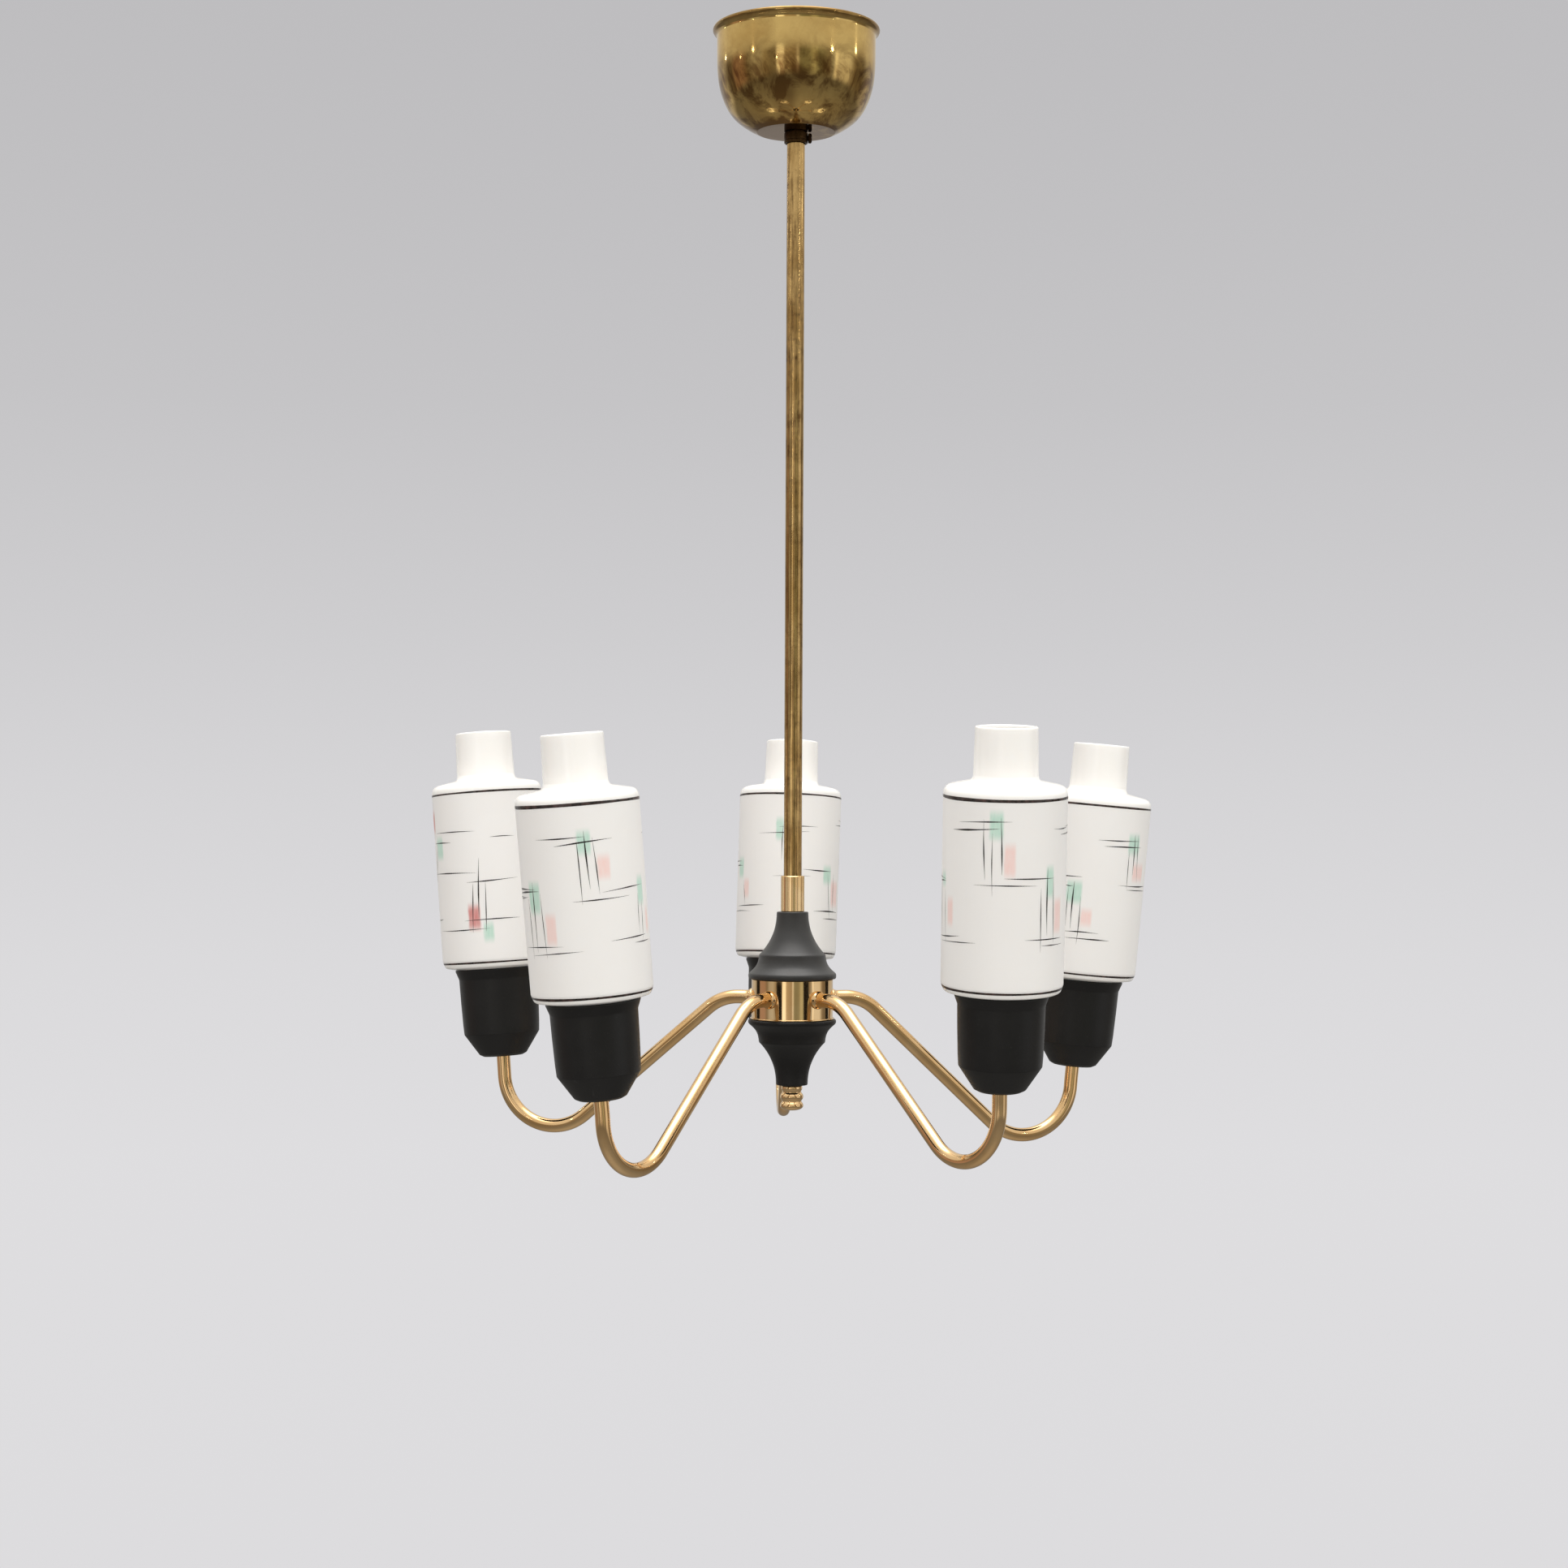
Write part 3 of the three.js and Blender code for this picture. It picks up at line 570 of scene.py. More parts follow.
def hexagon(name, r, z0, z1, bore, body, material, replaced, M=None):
    """A chamfered hexagon nut."""
    nut = Shape().lathe([(bore, z0), (r, z0), (r, z1), (bore, z1)], 6, closed=True, M=M)
    nut = make(name, nut, body, material, replaced)
    h, c = (z1 - z0), r * 0.105
    trim = Shape().lathe([(bore * 0.9, z0 - .01), (r - c * 1.9, z0 - .01), (r + .01, z0 + c * .9), (r + .01, z1 - c * .9),
                          (r - c * 1.9, z1 + .01), (bore * 0.9, z1 + .01)], 96, closed=True, M=M)
    carve(nut, [tool(trim)], "INTERSECT")
    hole = Shape().lathe([(0, z0 - 2), (bore, z0 - 2), (bore, z1 + 2), (0, z1 + 2)], 48, M=M)
    return carve(nut, [tool(hole)])


hexagon("locknut_hex", 11.5, -73.1, -70.1, 8.0, "canopy", STEEL, ["canopy_locknut"])

# Screw in the collar: a small slotted head with a knurled edge.
head = rounded([(0, 6.8), (1.6, 6.8), (2.0, 7.3), (2.0, 8.8), (3.2, 8.8, .1), (3.55, 9.2, .2), (3.6, 10.7, .4), (2.9, 11.4, .5), (0, 11.4)])
knurl = lambda a, r, z: r - (0.16 if r > 3.3 and 9.15 < z < 10.8 and int(round(a / TAU * 96)) % 4 in (1, 2) else 0)
screw = make("screw_thumb", Shape().lathe(head, 96, M=along_x(z=-79.5), wobble=knurl), "canopy_screw", BRONZE, ["canopy_screw"])
carve(screw, [tool(block(-.45, .45, -4, 4, 10.7, 12, along_x(z=-79.5)))])

# Drop rod with its cable window.
rod_profile = rounded([(5.3, -627.7, .15), (6.5, -627.7, .3), (6.5, -46, .5), (5.3, -46, .3)], closed=True)
rod = make("rod_tube", Shape().lathe(rod_profile, 72, closed=True), "frame", ROD, ["rod"])
half = Shape().lathe([(0, 0), (3.2, 0), (3.2, 12), (0, 12)], 32,
                     M=Matrix.Translation((0, 0, -60.5)) @ Matrix.Rotation(-math.pi / 2, 4, "X") @ Matrix.Diagonal((1, 1.4, 1, 1)))
bpy.context.view_layer.update()
carve(rod, [tool(half)])

# Eye on the rod's end.
eye = Shape()
ring_pts = [Vector((11 * math.cos(TAU * i / 72), 0, -26 + 11 * math.sin(TAU * i / 72))) for i in range(72)]
eye_rings = []
for p in ring_pts:
    out = (p - Vector((0, 0, -26))).normalized()
    eye_rings.append([p + out * (3 * math.cos(TAU * k / 28)) + Vector((0, 1, 0)) * (3 * math.sin(TAU * k / 28)) for k in range(28)])
eye.grid(eye_rings, [i / 72 * 0.07 for i in range(72)], close_v=True)
eye = make("eye_ring", eye, "frame", STEEL, ["suspension_loop"])
thread = lambda a, r, z: r - (0.28 * (0.5 + 0.5 * math.cos(TAU * (z / 1.0) - a)) if (4.8 < r < 5.05 and z < -46) else 0)
stem_pts = [(0, -53.5), (4.6, -53.5), (5.0, -53.1)] + [(5.0, -52.9 + i * 0.25) for i in range(27)] + [
    (5.0, -45.9), (5.0, -45.7), (6.3, -45.7), (6.5, -45.45), (6.5, -41.4), (6.2, -41.0), (5.4, -40.3), (4.6, -39.4), (4.0, -38.2), (3.4, -37.0), (0, -36.6)]
make("eye_stem", Shape().lathe(stem_pts, 64, wobble=thread), "frame", STEEL)

# Ceiling terminal: glazed block, clamp screws, wire mouths.
tb = block(-10, 10, 11, 23, -35, -21)
tb = make("terminal_ceiling", tb, "frame", CERAMIC, ["ceiling_terminal"])
bm = bmesh.new(); bm.from_mesh(tb.data)
bmesh.ops.bevel(bm, geom=bm.edges[:], offset=0.0011, segments=4, profile=0.6, affect="EDGES")
bm.to_mesh(tb.data); bm.free()
tb.data.polygons.foreach_set("use_smooth", [True] * len(tb.data.polygons))
back = Matrix.Rotation(-math.pi / 2, 4, "X")
cuts = []
for x in (-6, 0, 6):
    cuts.append(tool(round_bar(2.1, 0, 3.2, Matrix.Translation((x, 20.5, -25.5)) @ back)))
    cuts.append(tool(round_bar(2.1, 0, 3.2, Matrix.Translation((x, 20.5, -31.0)) @ back)))
    cuts.append(tool(round_bar(1.4, -4, 2, Matrix.Translation((x, 15.5, -21)))))
carve(tb, cuts, sharp=40)
ts = Shape()
for x in (-6, 0, 6):
    for z in (-25.5, -31.0):
        ts.lathe([(0, 0), (1.7, 0), (1.7, 1.3), (1.3, 1.7), (0, 1.75)], 32, M=Matrix.Translation((x, 20.6, z)) @ back)
ts = make("terminal_screws", ts, "frame", TERMINAL_BRASS)
slots = [tool(block(-2, 2, -.3, .3, 1.2, 3, Matrix.Translation((x, 20.6, z)) @ back @ Matrix.Rotation(0.4 + x * .3 + z, 4, "Z")))
         for x in (-6, 0, 6) for z in (-25.5, -31.0)]
carve(ts, slots)

cable_pts = spline([(0, 17, -35.0), (0, 16.9, -43), (0, 14.8, -49.5), (0, 9.8, -55.5), (0, 4.6, -61.5), (0, 1.6, -68), (0, 0.4, -75), (0, 0, -84),
                    (0, 0, -200), (0, 0, -330), (0, 0, -560), (0, 0, -640), (0, 0.5, -647), (0, 3, -654.5), (0, 6.8, -661.5), (0, 9.8, -667.5), (0, 10.5, -672.2)], 6)
cable_pts = [Vector(q) for q in cable_pts]
cable_tan = [(cable_pts[min(i + 1, len(cable_pts) - 1)] - cable_pts[max(i - 1, 0)]) for i in range(len(cable_pts))]
make("supply_lead", Shape().pipe(cable_pts, cable_tan, [2.2] * len(cable_pts), ring=24, up=Vector((1, 0, 0))),
     "frame", SHEATH, ["supply_cable"])

# ------------------------------------------------------------- the centre
make("sleeve_turned", Shape().lathe(rounded([
    (5.3, -637.7, .1), (8.2, -637.7, 0), (8.5, -637.3, .2), (8.5, -612.5, .2), (8.05, -612.0, .15), (6.95, -612.0, .1), (6.8, -612.3, .1), (6.8, -628.0, .1), (5.3, -628.0, .1)],
    closed=True), 96, closed=True), "frame", SLEEVE, ["sleeve"])

# Turned cap: a chamfered neck, a hollow flare, a step, a second flare, a rounded rim.
cap_outside = [(11.0, 0.0), (11.35, 0.35)] + spline([(11.4, 0.8), (11.6, 4.5), (12.2, 9), (13.2, 13.2), (14.7, 17.2), (16.6, 21.2), (19.0, 25.0), (21.6, 28.4), (23.3, 30.2)], 4) + [
    (23.75, 30.7), (23.95, 31.3)] + spline([(24.0, 31.8), (24.35, 34.2), (25.1, 36.8), (26.4, 39.3), (28.3, 41.5), (30.2, 43.2), (31.1, 44.0)], 4) + [
    (31.5, 44.6), (31.68, 45.3), (31.7, 46.2), (31.6, 47.2), (31.2, 47.9), (30.5, 48.0)]
cap_inside = [(28.9, 48.0), (28.6, 47.6), (24, 40), (21.5, 32), (16.5, 26.5), (11.4, 16), (9.2, 3), (5.3, 3), (5.3, 0)]
make("cap_upper", Shape().lathe([(r, -638 - d) for r, d in cap_outside + cap_inside], 128, closed=True), "frame", CAP, ["upper_cap"])
low = [(r, -762.6 + min(d, 47.3)) for r, d in cap_outside[:-3]] + [(31.5, -715.75), (31.1, -715.35), (30.5, -715.3)] + [
    (28.9, -715.3)] + [(r, -762.6 + min(d, 46.6)) for r, d in cap_inside[1:]]
# The lower cap takes the darker lacquer copy: painted shade on its downward faces.
make("cap_lower", Shape().lathe(low, 128, closed=True), "frame", LACQUER_SHADED, ["lower_cap"])

hub = make("hub_drum", Shape().lathe(rounded([
    (5.3, -715, .1), (30.2, -715, .3), (30.2, -714.05, .45), (29.3, -714.0, 0), (29.3, -686.75, .12), (28.95, -686.3, .1), (26.3, -686.3, .1), (26.3, -712, .4), (5.3, -712, .1)],
    closed=True), 144, closed=True), "frame", HUB, ["hub_body"])
holes = [tool(round_bar(5.15, 20, 36, Matrix.Rotation(math.radians(90 + 72 * i), 4, "Z") @ along_x(z=-700), 48)) for i in range(5)]
carve(hub, holes)
# the drum's foot, made above, ends in a thin bright lip between the drum and the lower cap
make("finial_turned", Shape().lathe(
    [(0, -781.0)] + spline([(0.8, -780.98), (4.2, -780.7), (6.6, -779.9), (8.0, -778.7), (8.4, -777.5), (8.05, -776.1), (7.3, -775.0), (6.95, -774.4)], 4)
    + spline([(6.95, -774.1), (7.3, -773.5), (8.05, -772.4), (8.4, -771.0), (8.05, -769.6), (7.3, -768.5), (6.85, -767.9)], 4)
    + spline([(6.85, -767.5), (7.0, -766.6), (7.5, -765.6), (7.6, -764.6), (7.45, -763.6), (7.2, -763.1)], 3)
    + [(5.3, -762.95), (5.3, -773.0), (0, -773.0)], 96), "finial", BRASS, ["finial"])

# ------------------------------------------------------------------ arms
ARMS = [("back", 1.5, -1.8), ("back_left", 3.3, -0.8), ("front_left", -2.6, -2.6), ("front_right", 3.0, -2.9), ("back_right", -3.2, -2.2)]
LEAN = math.radians(4.5)
ARM_Z, SH_S, SH_R, U_S, U_R, U_Z, RISE = -700.0, 40.5, 35.0, 183.6, 38.3, -802.0, 15.45


def arm_line(rise, sway):
    axis = Vector((math.sin(LEAN), math.tan(math.radians(sway)), math.cos(LEAN))).normalized()
    end_a = math.pi / 2 - LEAN
    drop = Vector((U_S + U_R * math.sin(end_a), 0, U_Z + rise + U_R * (1 - math.cos(end_a))))
    foot = drop + axis * RISE
    ds, dz = U_S - SH_S, (ARM_Z - SH_R) - (U_Z + rise + U_R)
    fall = math.atan2(dz, ds) + math.asin((SH_R + U_R) / math.hypot(ds, dz))
    P, T, R = [], [], []

    def add(x, z, a, r=5.0):
        P.append(Vector((x, 0, z))), T.append(Vector((math.cos(a), 0, math.sin(a)))), R.append(r)

    for x, r in ((19.6, 4.7), (19.9, 5.0), (28.6, 5.0), (28.9, 6.3), (29.9, 6.5), (30.7, 6.42), (31.3, 6.1), (31.9, 5.6), (32.8, 5.2), (34.0, 5.03), (35.2, 5.0), (38, 5.0)):
        add(x, ARM_Z, 0, r)
    for i in range(25):
        a = fall * i / 24
        add(SH_S + SH_R * math.sin(a), ARM_Z - SH_R * (1 - math.cos(a)), -a)
    p0, p1 = P[-1].copy(), Vector((U_S - U_R * math.sin(fall), 0, U_Z + rise + U_R * (1 - math.cos(fall))))
    for i in range(1, 8):
        q = p0.lerp(p1, i / 8)
        add(q.x, q.z, -fall)
    for i in range(57):
        a = -fall + (end_a + fall) * i / 56
        add(U_S + U_R * math.sin(a), U_Z + rise + U_R * (1 - math.cos(a)), a)
    d0, t0 = P[-1].copy(), T[-1].copy()
    c1, c2 = d0 + t0 * (RISE / 3), foot - axis * (RISE / 3)
    for i in range(1, 9):
        s = i / 8
        q = d0 * (1 - s) ** 3 + c1 * (3 * s * (1 - s) ** 2) + c2 * (3 * s * s * (1 - s)) + foot * s ** 3
        t = (c1 - d0) * (3 * (1 - s) ** 2) + (c2 - c1) * (6 * s * (1 - s)) + (foot - c2) * (3 * s * s)
        P.append(q), T.append(t), R.append(5.0)
    P.append(foot + axis * 11.7), T.append(axis), R.append(5.0)
    P.append(foot + axis * 12.0), T.append(axis), R.append(4.7)
    return P, T, R, axis, foot


# lamp outlines, from the underside of the cup
CUP_LINE = rounded([
    (5.3, 0, .2), (14.4, 0, .6), (17.4, 1.5, 1.2), (27.7, 17.0, 1.6), (28.15, 24, 0), (28.75, 42, 0), (29.05, 57.8, 5), (31.4, 64.1, .5), (31.2, 65.0, .3), (29.3, 65.0, .4),
    (26.8, 59, 3), (25.7, 18.4, 2), (16, 3, 1), (5.3, 3, .2)], closed=True, n=6)
HOLDER_LINE = rounded([(5.3, 3.3, .2), (9.5, 3.3, .5), (13, 9, .8), (13, 20, .0), (12.5, 20.4, .1), (12.5, 21.2, .1), (13, 21.6, .1), (13, 34, 0), (12.5, 34.4, .1), (12.5, 35.2, .1), (13, 35.6, .1),
                       (13, 48.6, .5), (12.0, 50, .4), (8.6, 50, .3), (8.2, 49.4, .2), (8.2, 22, .4), (5.3, 22, .2)], closed=True)
SHADE_OUT = rounded([
    (22, 48, .4), (25, 48, .4), (25, 65.3, 1.0), (31.0, 65.3, 1.0), (38.5, 66.9, 2.8), (40.2, 72.2, 3.2), (40.35, 100, 0), (40.5, 140, 0), (40.65, 188, 0), (40.7, 201.6, 6.8), (22.4, 205.4, 2.6),
    (21.35, 208.5, 3), (20.65, 240.5, .9)], n=9)
SHADE_IN = rounded([(20.65, 240.5, .9), (17.9, 240.5, .9), (18.2, 203.6, 3), (35.6, 199.6, 4), (37.9, 193, 3), (37.2, 71.8, 3), (34.5, 67.8, 2), (22, 67.8, .6), (22, 48, .4)], n=6)
SHADE_OUT = SHADE_OUT[1:-1]


def neck_end():
    # the fired rim of the neck and the collar's lower edge, both rounded
    top = rounded([(20.75, 236, 0), (20.65, 240.5, 1.1), (17.95, 240.5, 1.1), (17.9, 236, 0)], n=7)
    foot = rounded([(22, 52, 0), (22, 48, .7), (25, 48, .7), (25, 52, 0)], n=5)
    return top, foot


TOP_RIM, FOOT_RIM = neck_end()
outer_line = FOOT_RIM + [q for q in SHADE_OUT if q[1] > 52.5 and q[1] < 235.5]
inner_line = TOP_RIM + [q for q in SHADE_IN[1:-1] if 53 < q[1] < 235]


def dense(line, gap):
    """Adds points so that no span is longer than gap."""
    out = [line[0]]
    for a, b in zip(line, line[1:]):
        n = max(1, int(math.ceil(math.hypot(b[0] - a[0], b[1] - a[1]) / gap)))
        out += [(lerp(a[0], b[0], k / n), lerp(a[1], b[1], k / n)) for k in range(1, n + 1)]
    return out


outer_line, inner_line = dense(outer_line, 6.0), dense(inner_line, 14.0)
SHADE_LINE = outer_line + inner_line
SHADE_V = [t / 300 for _, t in outer_line] + [2.0 + t / 300 for _, t in inner_line]


def glass_r(t):
    for (r0, t0), (r1, t1) in zip(outer_line, outer_line[1:]):
        if t0 <= t <= t1 and t1 > t0:
            return lerp(r0, r1, (t - t0) / (t1 - t0))
    return 40.7


# ------------------------------------------------- painted lines and washes
# Angles are degrees round each glass (0 faces the front), heights are mm up the
# lamp, and the last number of a line is its greatest width in mm.
H_MOTIF = dict(
    v=[(-19.6, 179, -18.6, 138, .7), (-11.3, 173, -10.8, 130, .5), (-2.7, 181.5, -2.0, 142, .8)],
    h=[(-49, 177, 7, 177.6, .7), (-57, 172.5, -2, 173.2, 1.0), (0, 141.4, 53, 141.8, .9), (-29, 136.6, 37, 136.9, .7)],
    g=[(-15, -.6, 165, 184.6)], p=[(-.3, 11.6, 141, 164)], r=[])
L_MOTIF = dict(
    v=[(38, 135, 38.6, 94, .7), (46, 150, 46.5, 104, .9), (55, 145, 55.8, 101, .6)],
    h=[(22, 102, 85, 102.6, .8), (34, 98.5, 85, 98.9, .6), (54, 171, 83, 171.4, .6), (66, 168, 85, 168.2, .5)],
    g=[(40.5, 54.5, 129, 151)], p=[(55.6, 70, 106, 130)], r=[])
RH_MOTIF = dict(
    v=[(2, 186, 0, 150, .6), (10, 164, 8, 135, .6), (15, 172, 14.5, 142, .5)],
    h=[(8, 170.4, 68, 169.8, .7), (0, 163, 38, 162.5, .7), (-6, 140.4, 67, 139, .8)],
    g=[(9, 24, 150, 168)], p=[], r=[(-6.5, 6.5, 170, 187)])
RL_MOTIF = dict(
    v=[(1, 131.6, -1, 94.8, .7), (9, 150.3, 6.5, 105.3, .9), (14.5, 132.2, 12.5, 95.3, .7)],
    h=[(-6.5, 132.3, 49, 134.1, .8), (-11.5, 104.2, 50, 104.5, .8), (-55, 97.7, 17, 97.8, .7)],
    g=[(9.5, 20.5, 87.4, 103)], p=[], r=[(-6.5, 6.5, 96.5, 116.4)])
FRONT = {"front_left": 38.5, "front_right": -42.3, "back_left": 112.1, "back_right": -116.1, "back": 178.1}
BANDS = {"front_left": (72.1, 196.4), "front_right": (71.4, 192.0), "back_left": (72.8, 198.8), "back_right": (70.9, 193.9), "back": (69.7, 196.4)}
BAND_T = (70.2, 195.2)
PAINT = {
    "front_left": dict(
        v=[(34.8, 173.3, 36.1, 132.1, 0.7), (41.7, 179.6, 44.3, 141.5, 0.9), (49.1, 175.2, 52.5, 137.7, 0.6), (-25.0, 137.4, -23.0, 98.4, 0.6), (-16.1, 148.2, -15.3, 102.6, 0.8), (-6.2, 140.8, -3.2, 98.7, 0.5), (96.2, 135.8, 95.5, 110.3, 0.5), (102.5, 131.4, 100.3, 105.9, 0.5)],
        h=[(-6.8, 175.3, 42.5, 175.6, 0.8), (13.0, 170.4, 69.1, 173.2, 1.0), (54.6, 139.1, 105.3, 141.3, 0.7), (26.6, 134.5, 84.4, 135.3, 0.7), (-50.2, 140.4, -7.3, 142.2, 1.0), (-50.2, 137.3, -24.6, 138.7, 0.5), (-39.4, 105.6, 15.4, 106.3, 0.6), (-25.0, 100.6, 34.3, 102.6, 0.6), (59.8, 107.6, 105.8, 108.8, 0.8), (86.4, 104.6, 114.1, 104.8, 0.7)],
        g=[(34.6, 47.7, 163.1, 180.2), (-22.8, -6.7, 126.8, 148.9), (95.9, 106.7, 127.6, 147.5)],
        p=[(51.7, 64.6, 146.7, 163.9), (-2.1, 9.4, 106.6, 128.0), (108.9, 116.4, 109.3, 126.4)], r=[]),
    "front_right": dict(
        v=[(-61.7, 180.6, -59.7, 142.7, 0.7), (-53.3, 172.9, -52.8, 132.3, 0.5), (-45.7, 181.8, -44.1, 145.9, 0.8), (-5.9, 138.1, -5.2, 97.2, 0.7), (1.8, 150.5, 2.2, 107.5, 0.9), (9.7, 144.7, 11.2, 102.9, 0.6), (-123.6, 143.6, -120.9, 104.3, 0.6), (-111.2, 133.8, -108.8, 100.1, 0.5)],
        h=[(-88.4, 177.6, -34.8, 179.2, 0.7), (-97.3, 172.4, -46.8, 174.8, 1.1), (-42.2, 143.9, 9.8, 143.4, 0.9), (-71.5, 139.2, -9.4, 139.2, 0.7), (-22.0, 105.5, 25.8, 105.1, 0.8), (-4.6, 101.6, 29.0, 101.2, 0.6), (8.3, 174.0, 37.7, 173.9, 0.6), (20.9, 169.9, 38.6, 169.5, 0.5), (-131.0, 137.8, -108.9, 139.2, 0.8), (-131.0, 103.3, -85.8, 106.3, 0.8), (-122.8, 100.7, -67.2, 102.9, 0.6)],
        g=[(-56.3, -43.1, 167.0, 186.3), (0.1, 9.9, 130.2, 151.7), (-120.5, -110.0, 134.9, 145.7)],
        p=[(-42.5, -31.6, 143.9, 165.9), (11.6, 23.2, 107.8, 130.9), (-105.4, -95.7, 111.1, 130.0)], r=[]),
    "back_left": dict(
        v=[(91.4, 131.6, 88.4, 94.8, 0.7), (99.3, 150.3, 95.8, 105.3, 0.9), (104.7, 132.2, 102.8, 95.3, 0.7), (39.8, 162.4, 30.4, 134.4, 0.4)],
        h=[(37.9, 170.4, 97.6, 169.8, 0.7), (29.5, 163.0, 67.9, 162.5, 0.7), (23.2, 140.4, 96.6, 139.0, 0.8), (83.9, 132.3, 139.2, 134.1, 0.8), (111.8, 164.8, 138.4, 164.9, 0.6), (79.0, 104.2, 140.1, 104.5, 0.8), (35.0, 97.7, 107.6, 97.8, 0.7), (23.2, 106.4, 44.8, 106.4, 0.6)],
        g=[(38.8, 53.3, 150.0, 168.2), (100.0, 110.8, 87.4, 103.0)], p=[],
        r=[(23.2, 35.9, 170.3, 187.9), (83.9, 97.4, 96.5, 116.4)]),
    "back_right": dict(
        v=[(-73.9, 164.3, -73.2, 135.1, 0.6), (-67.2, 175.0, -66.3, 145.1, 0.9), (-62.1, 175.2, -57.8, 140.1, 0.5), (-131.4, 138.2, -131.6, 103.2, 0.9), (-137.2, 133.9, -137.1, 104.7, 0.4), (-123.7, 127.7, -124.0, 92.1, 0.5)],
        h=[(-111.1, 168.9, -59.4, 170.3, 0.8), (-104.1, 164.7, -54.5, 165.7, 1.0), (-84.5, 137.4, -30.4, 137.9, 0.8), (-73.6, 134.4, -27.2, 134.2, 0.6), (-141.3, 134.6, -132.4, 134.5, 0.6), (-138.5, 101.1, -101.3, 101.4, 0.8), (-137.9, 96.6, -88.9, 96.8, 0.9)],
        g=[(-75.6, -58.7, 159.4, 175.6), (-139.5, -122.6, 120.8, 138.8)],
        p=[(-66.7, -46.2, 140.1, 154.4), (-122.0, -110.2, 105.0, 119.1)], r=[]),
    "back": dict(
        v=[(-130.7, 133.8, -125.3, 97.1, 0.5), (-118.3, 134.3, -118.0, 102.6, 0.5), (116.9, 126.6, 121.8, 106.7, 0.4), (171, 172, 170.5, 142, .5)],
        h=[(165.6, 169.4, 212.3, 170.5, 0.6), (141.1, 164.3, 201.8, 166.5, 0.7), (194.4, 136.0, 235.0, 135.7, 0.9), (159.9, 129.9, 205.7, 130.7, 0.4), (209.3, 102.7, 257.8, 103.1, 1.0), (222.8, 97.2, 263.4, 97.3, 0.8), (92.3, 138.6, 114.8, 138.4, 0.8), (103.0, 105.9, 151.0, 106.6, 0.8), (90.5, 101.8, 132.7, 101.6, 0.5)],
        g=[(162.9, 171.4, 157.9, 177.6), (-138.2, -124.8, 124.5, 140.3), (104.4, 117.1, 128.0, 145.9)],
        p=[(-123.5, -105.8, 106.7, 129.1), (118.7, 128.6, 111.9, 128.4)], r=[]),
}
UNSEEN = {
    "front_right": [(H_MOTIF, 120), (H_MOTIF, -120), (L_MOTIF, 120)],
    "front_left": [(H_MOTIF, 136), (H_MOTIF, -104), (L_MOTIF, 136)],
    "back": [(H_MOTIF, 121), (H_MOTIF, -119), (L_MOTIF, 121)],
    "back_right": [(H_MOTIF, 180), (H_MOTIF, -60), (L_MOTIF, 60), (L_MOTIF, 180)],
    "back_left": [(RH_MOTIF, 38), (RL_MOTIF, 99), (RH_MOTIF, 158), (RL_MOTIF, -142)],
}


def wrap(a):
    return (a + 180) % 360 - 180


def painted(where):
    """All lines and washes of one glass, as (front angle, height)."""
    lo, hi = BANDS[where]
    fit = lambda t: BAND_T[0] + (t - lo) * (BAND_T[1] - BAND_T[0]) / (hi - lo)
    front, lines, washes = FRONT[where], [], []
    mine = PAINT[where]
    for kind in "vh":
        for a0, t0, a1, t1, w in mine[kind]:
            lines.append((a0 - front, fit(t0), a1 - front, fit(t1), w))
    for kind in "gpr":
        for a0, a1, t0, t1 in mine[kind]:
            c = wrap((a0 + a1) / 2 - front)
            h = (a1 - a0) / 2
            washes.append((kind, c - h, c + h, fit(t0), fit(t1)))
    for motif, turn in UNSEEN[where]:
        for kind in "vh":
            for a0, t0, a1, t1, w in motif[kind]:
                lines.append((a0 + turn, t0, a1 + turn, t1, w))
        for kind in "gpr":
            for a0, a1, t0, t1 in motif[kind]:
                c = wrap((a0 + a1) / 2 + turn)
                h = (a1 - a0) / 2
                washes.append((kind, c - h, c + h, t0, t1))
    return lines, washes


def stroke(shape, M, phase, a0, t0, a1, t1, width, rng, n=26):
    """One brushed line: a thin raised lens of enamel, tapering to nothing."""
    bow = rng.uniform(-0.5, 0.5)
    early = rng.uniform(0.35, 0.65)
    rings = []
    for k in range(n + 1):
        s = k / n
        a, t = lerp(a0, a1, s), lerp(t0, t1, s)
        taper = (s / early if s < early else (1 - s) / (1 - early))
        w = width * 0.68 * max(0.05, min(1.0, taper ** 0.6)) * (1 + 0.12 * math.sin(9 * s + bow * 7))
        flat = abs(a1 - a0) * 0.7 > abs(t1 - t0)
        bend = bow * math.sin(math.pi * s)
        r = glass_r(t)
        if flat:
            t += bend
            side = [(0, -w), (0, 0), (0, w)]
        else:
            a += math.degrees(bend / r)
            side = [(-w, 0), (0, 0), (w, 0)]
        h = 0.13 * max(0.25, min(1.0, taper))
        pts = []
        for (da, dt), lift in zip((side[0], side[1], side[2], side[1]), (-0.03, h, -0.03, -0.10)):
            ang = math.radians(phase + a) + da / r
            rr = glass_r(t + dt) + lift
            pts.append(M @ Vector((rr * math.cos(ang), rr * math.sin(ang), t + dt)))
        rings.append(pts)
    first = sum(rings[0], Vector((0, 0, 0))) / 4
    last = sum(rings[-1], Vector((0, 0, 0))) / 4
    shape.grid([[first]] + rings + [[last]], [0] + [k / n for k in range(n + 1)] + [1])


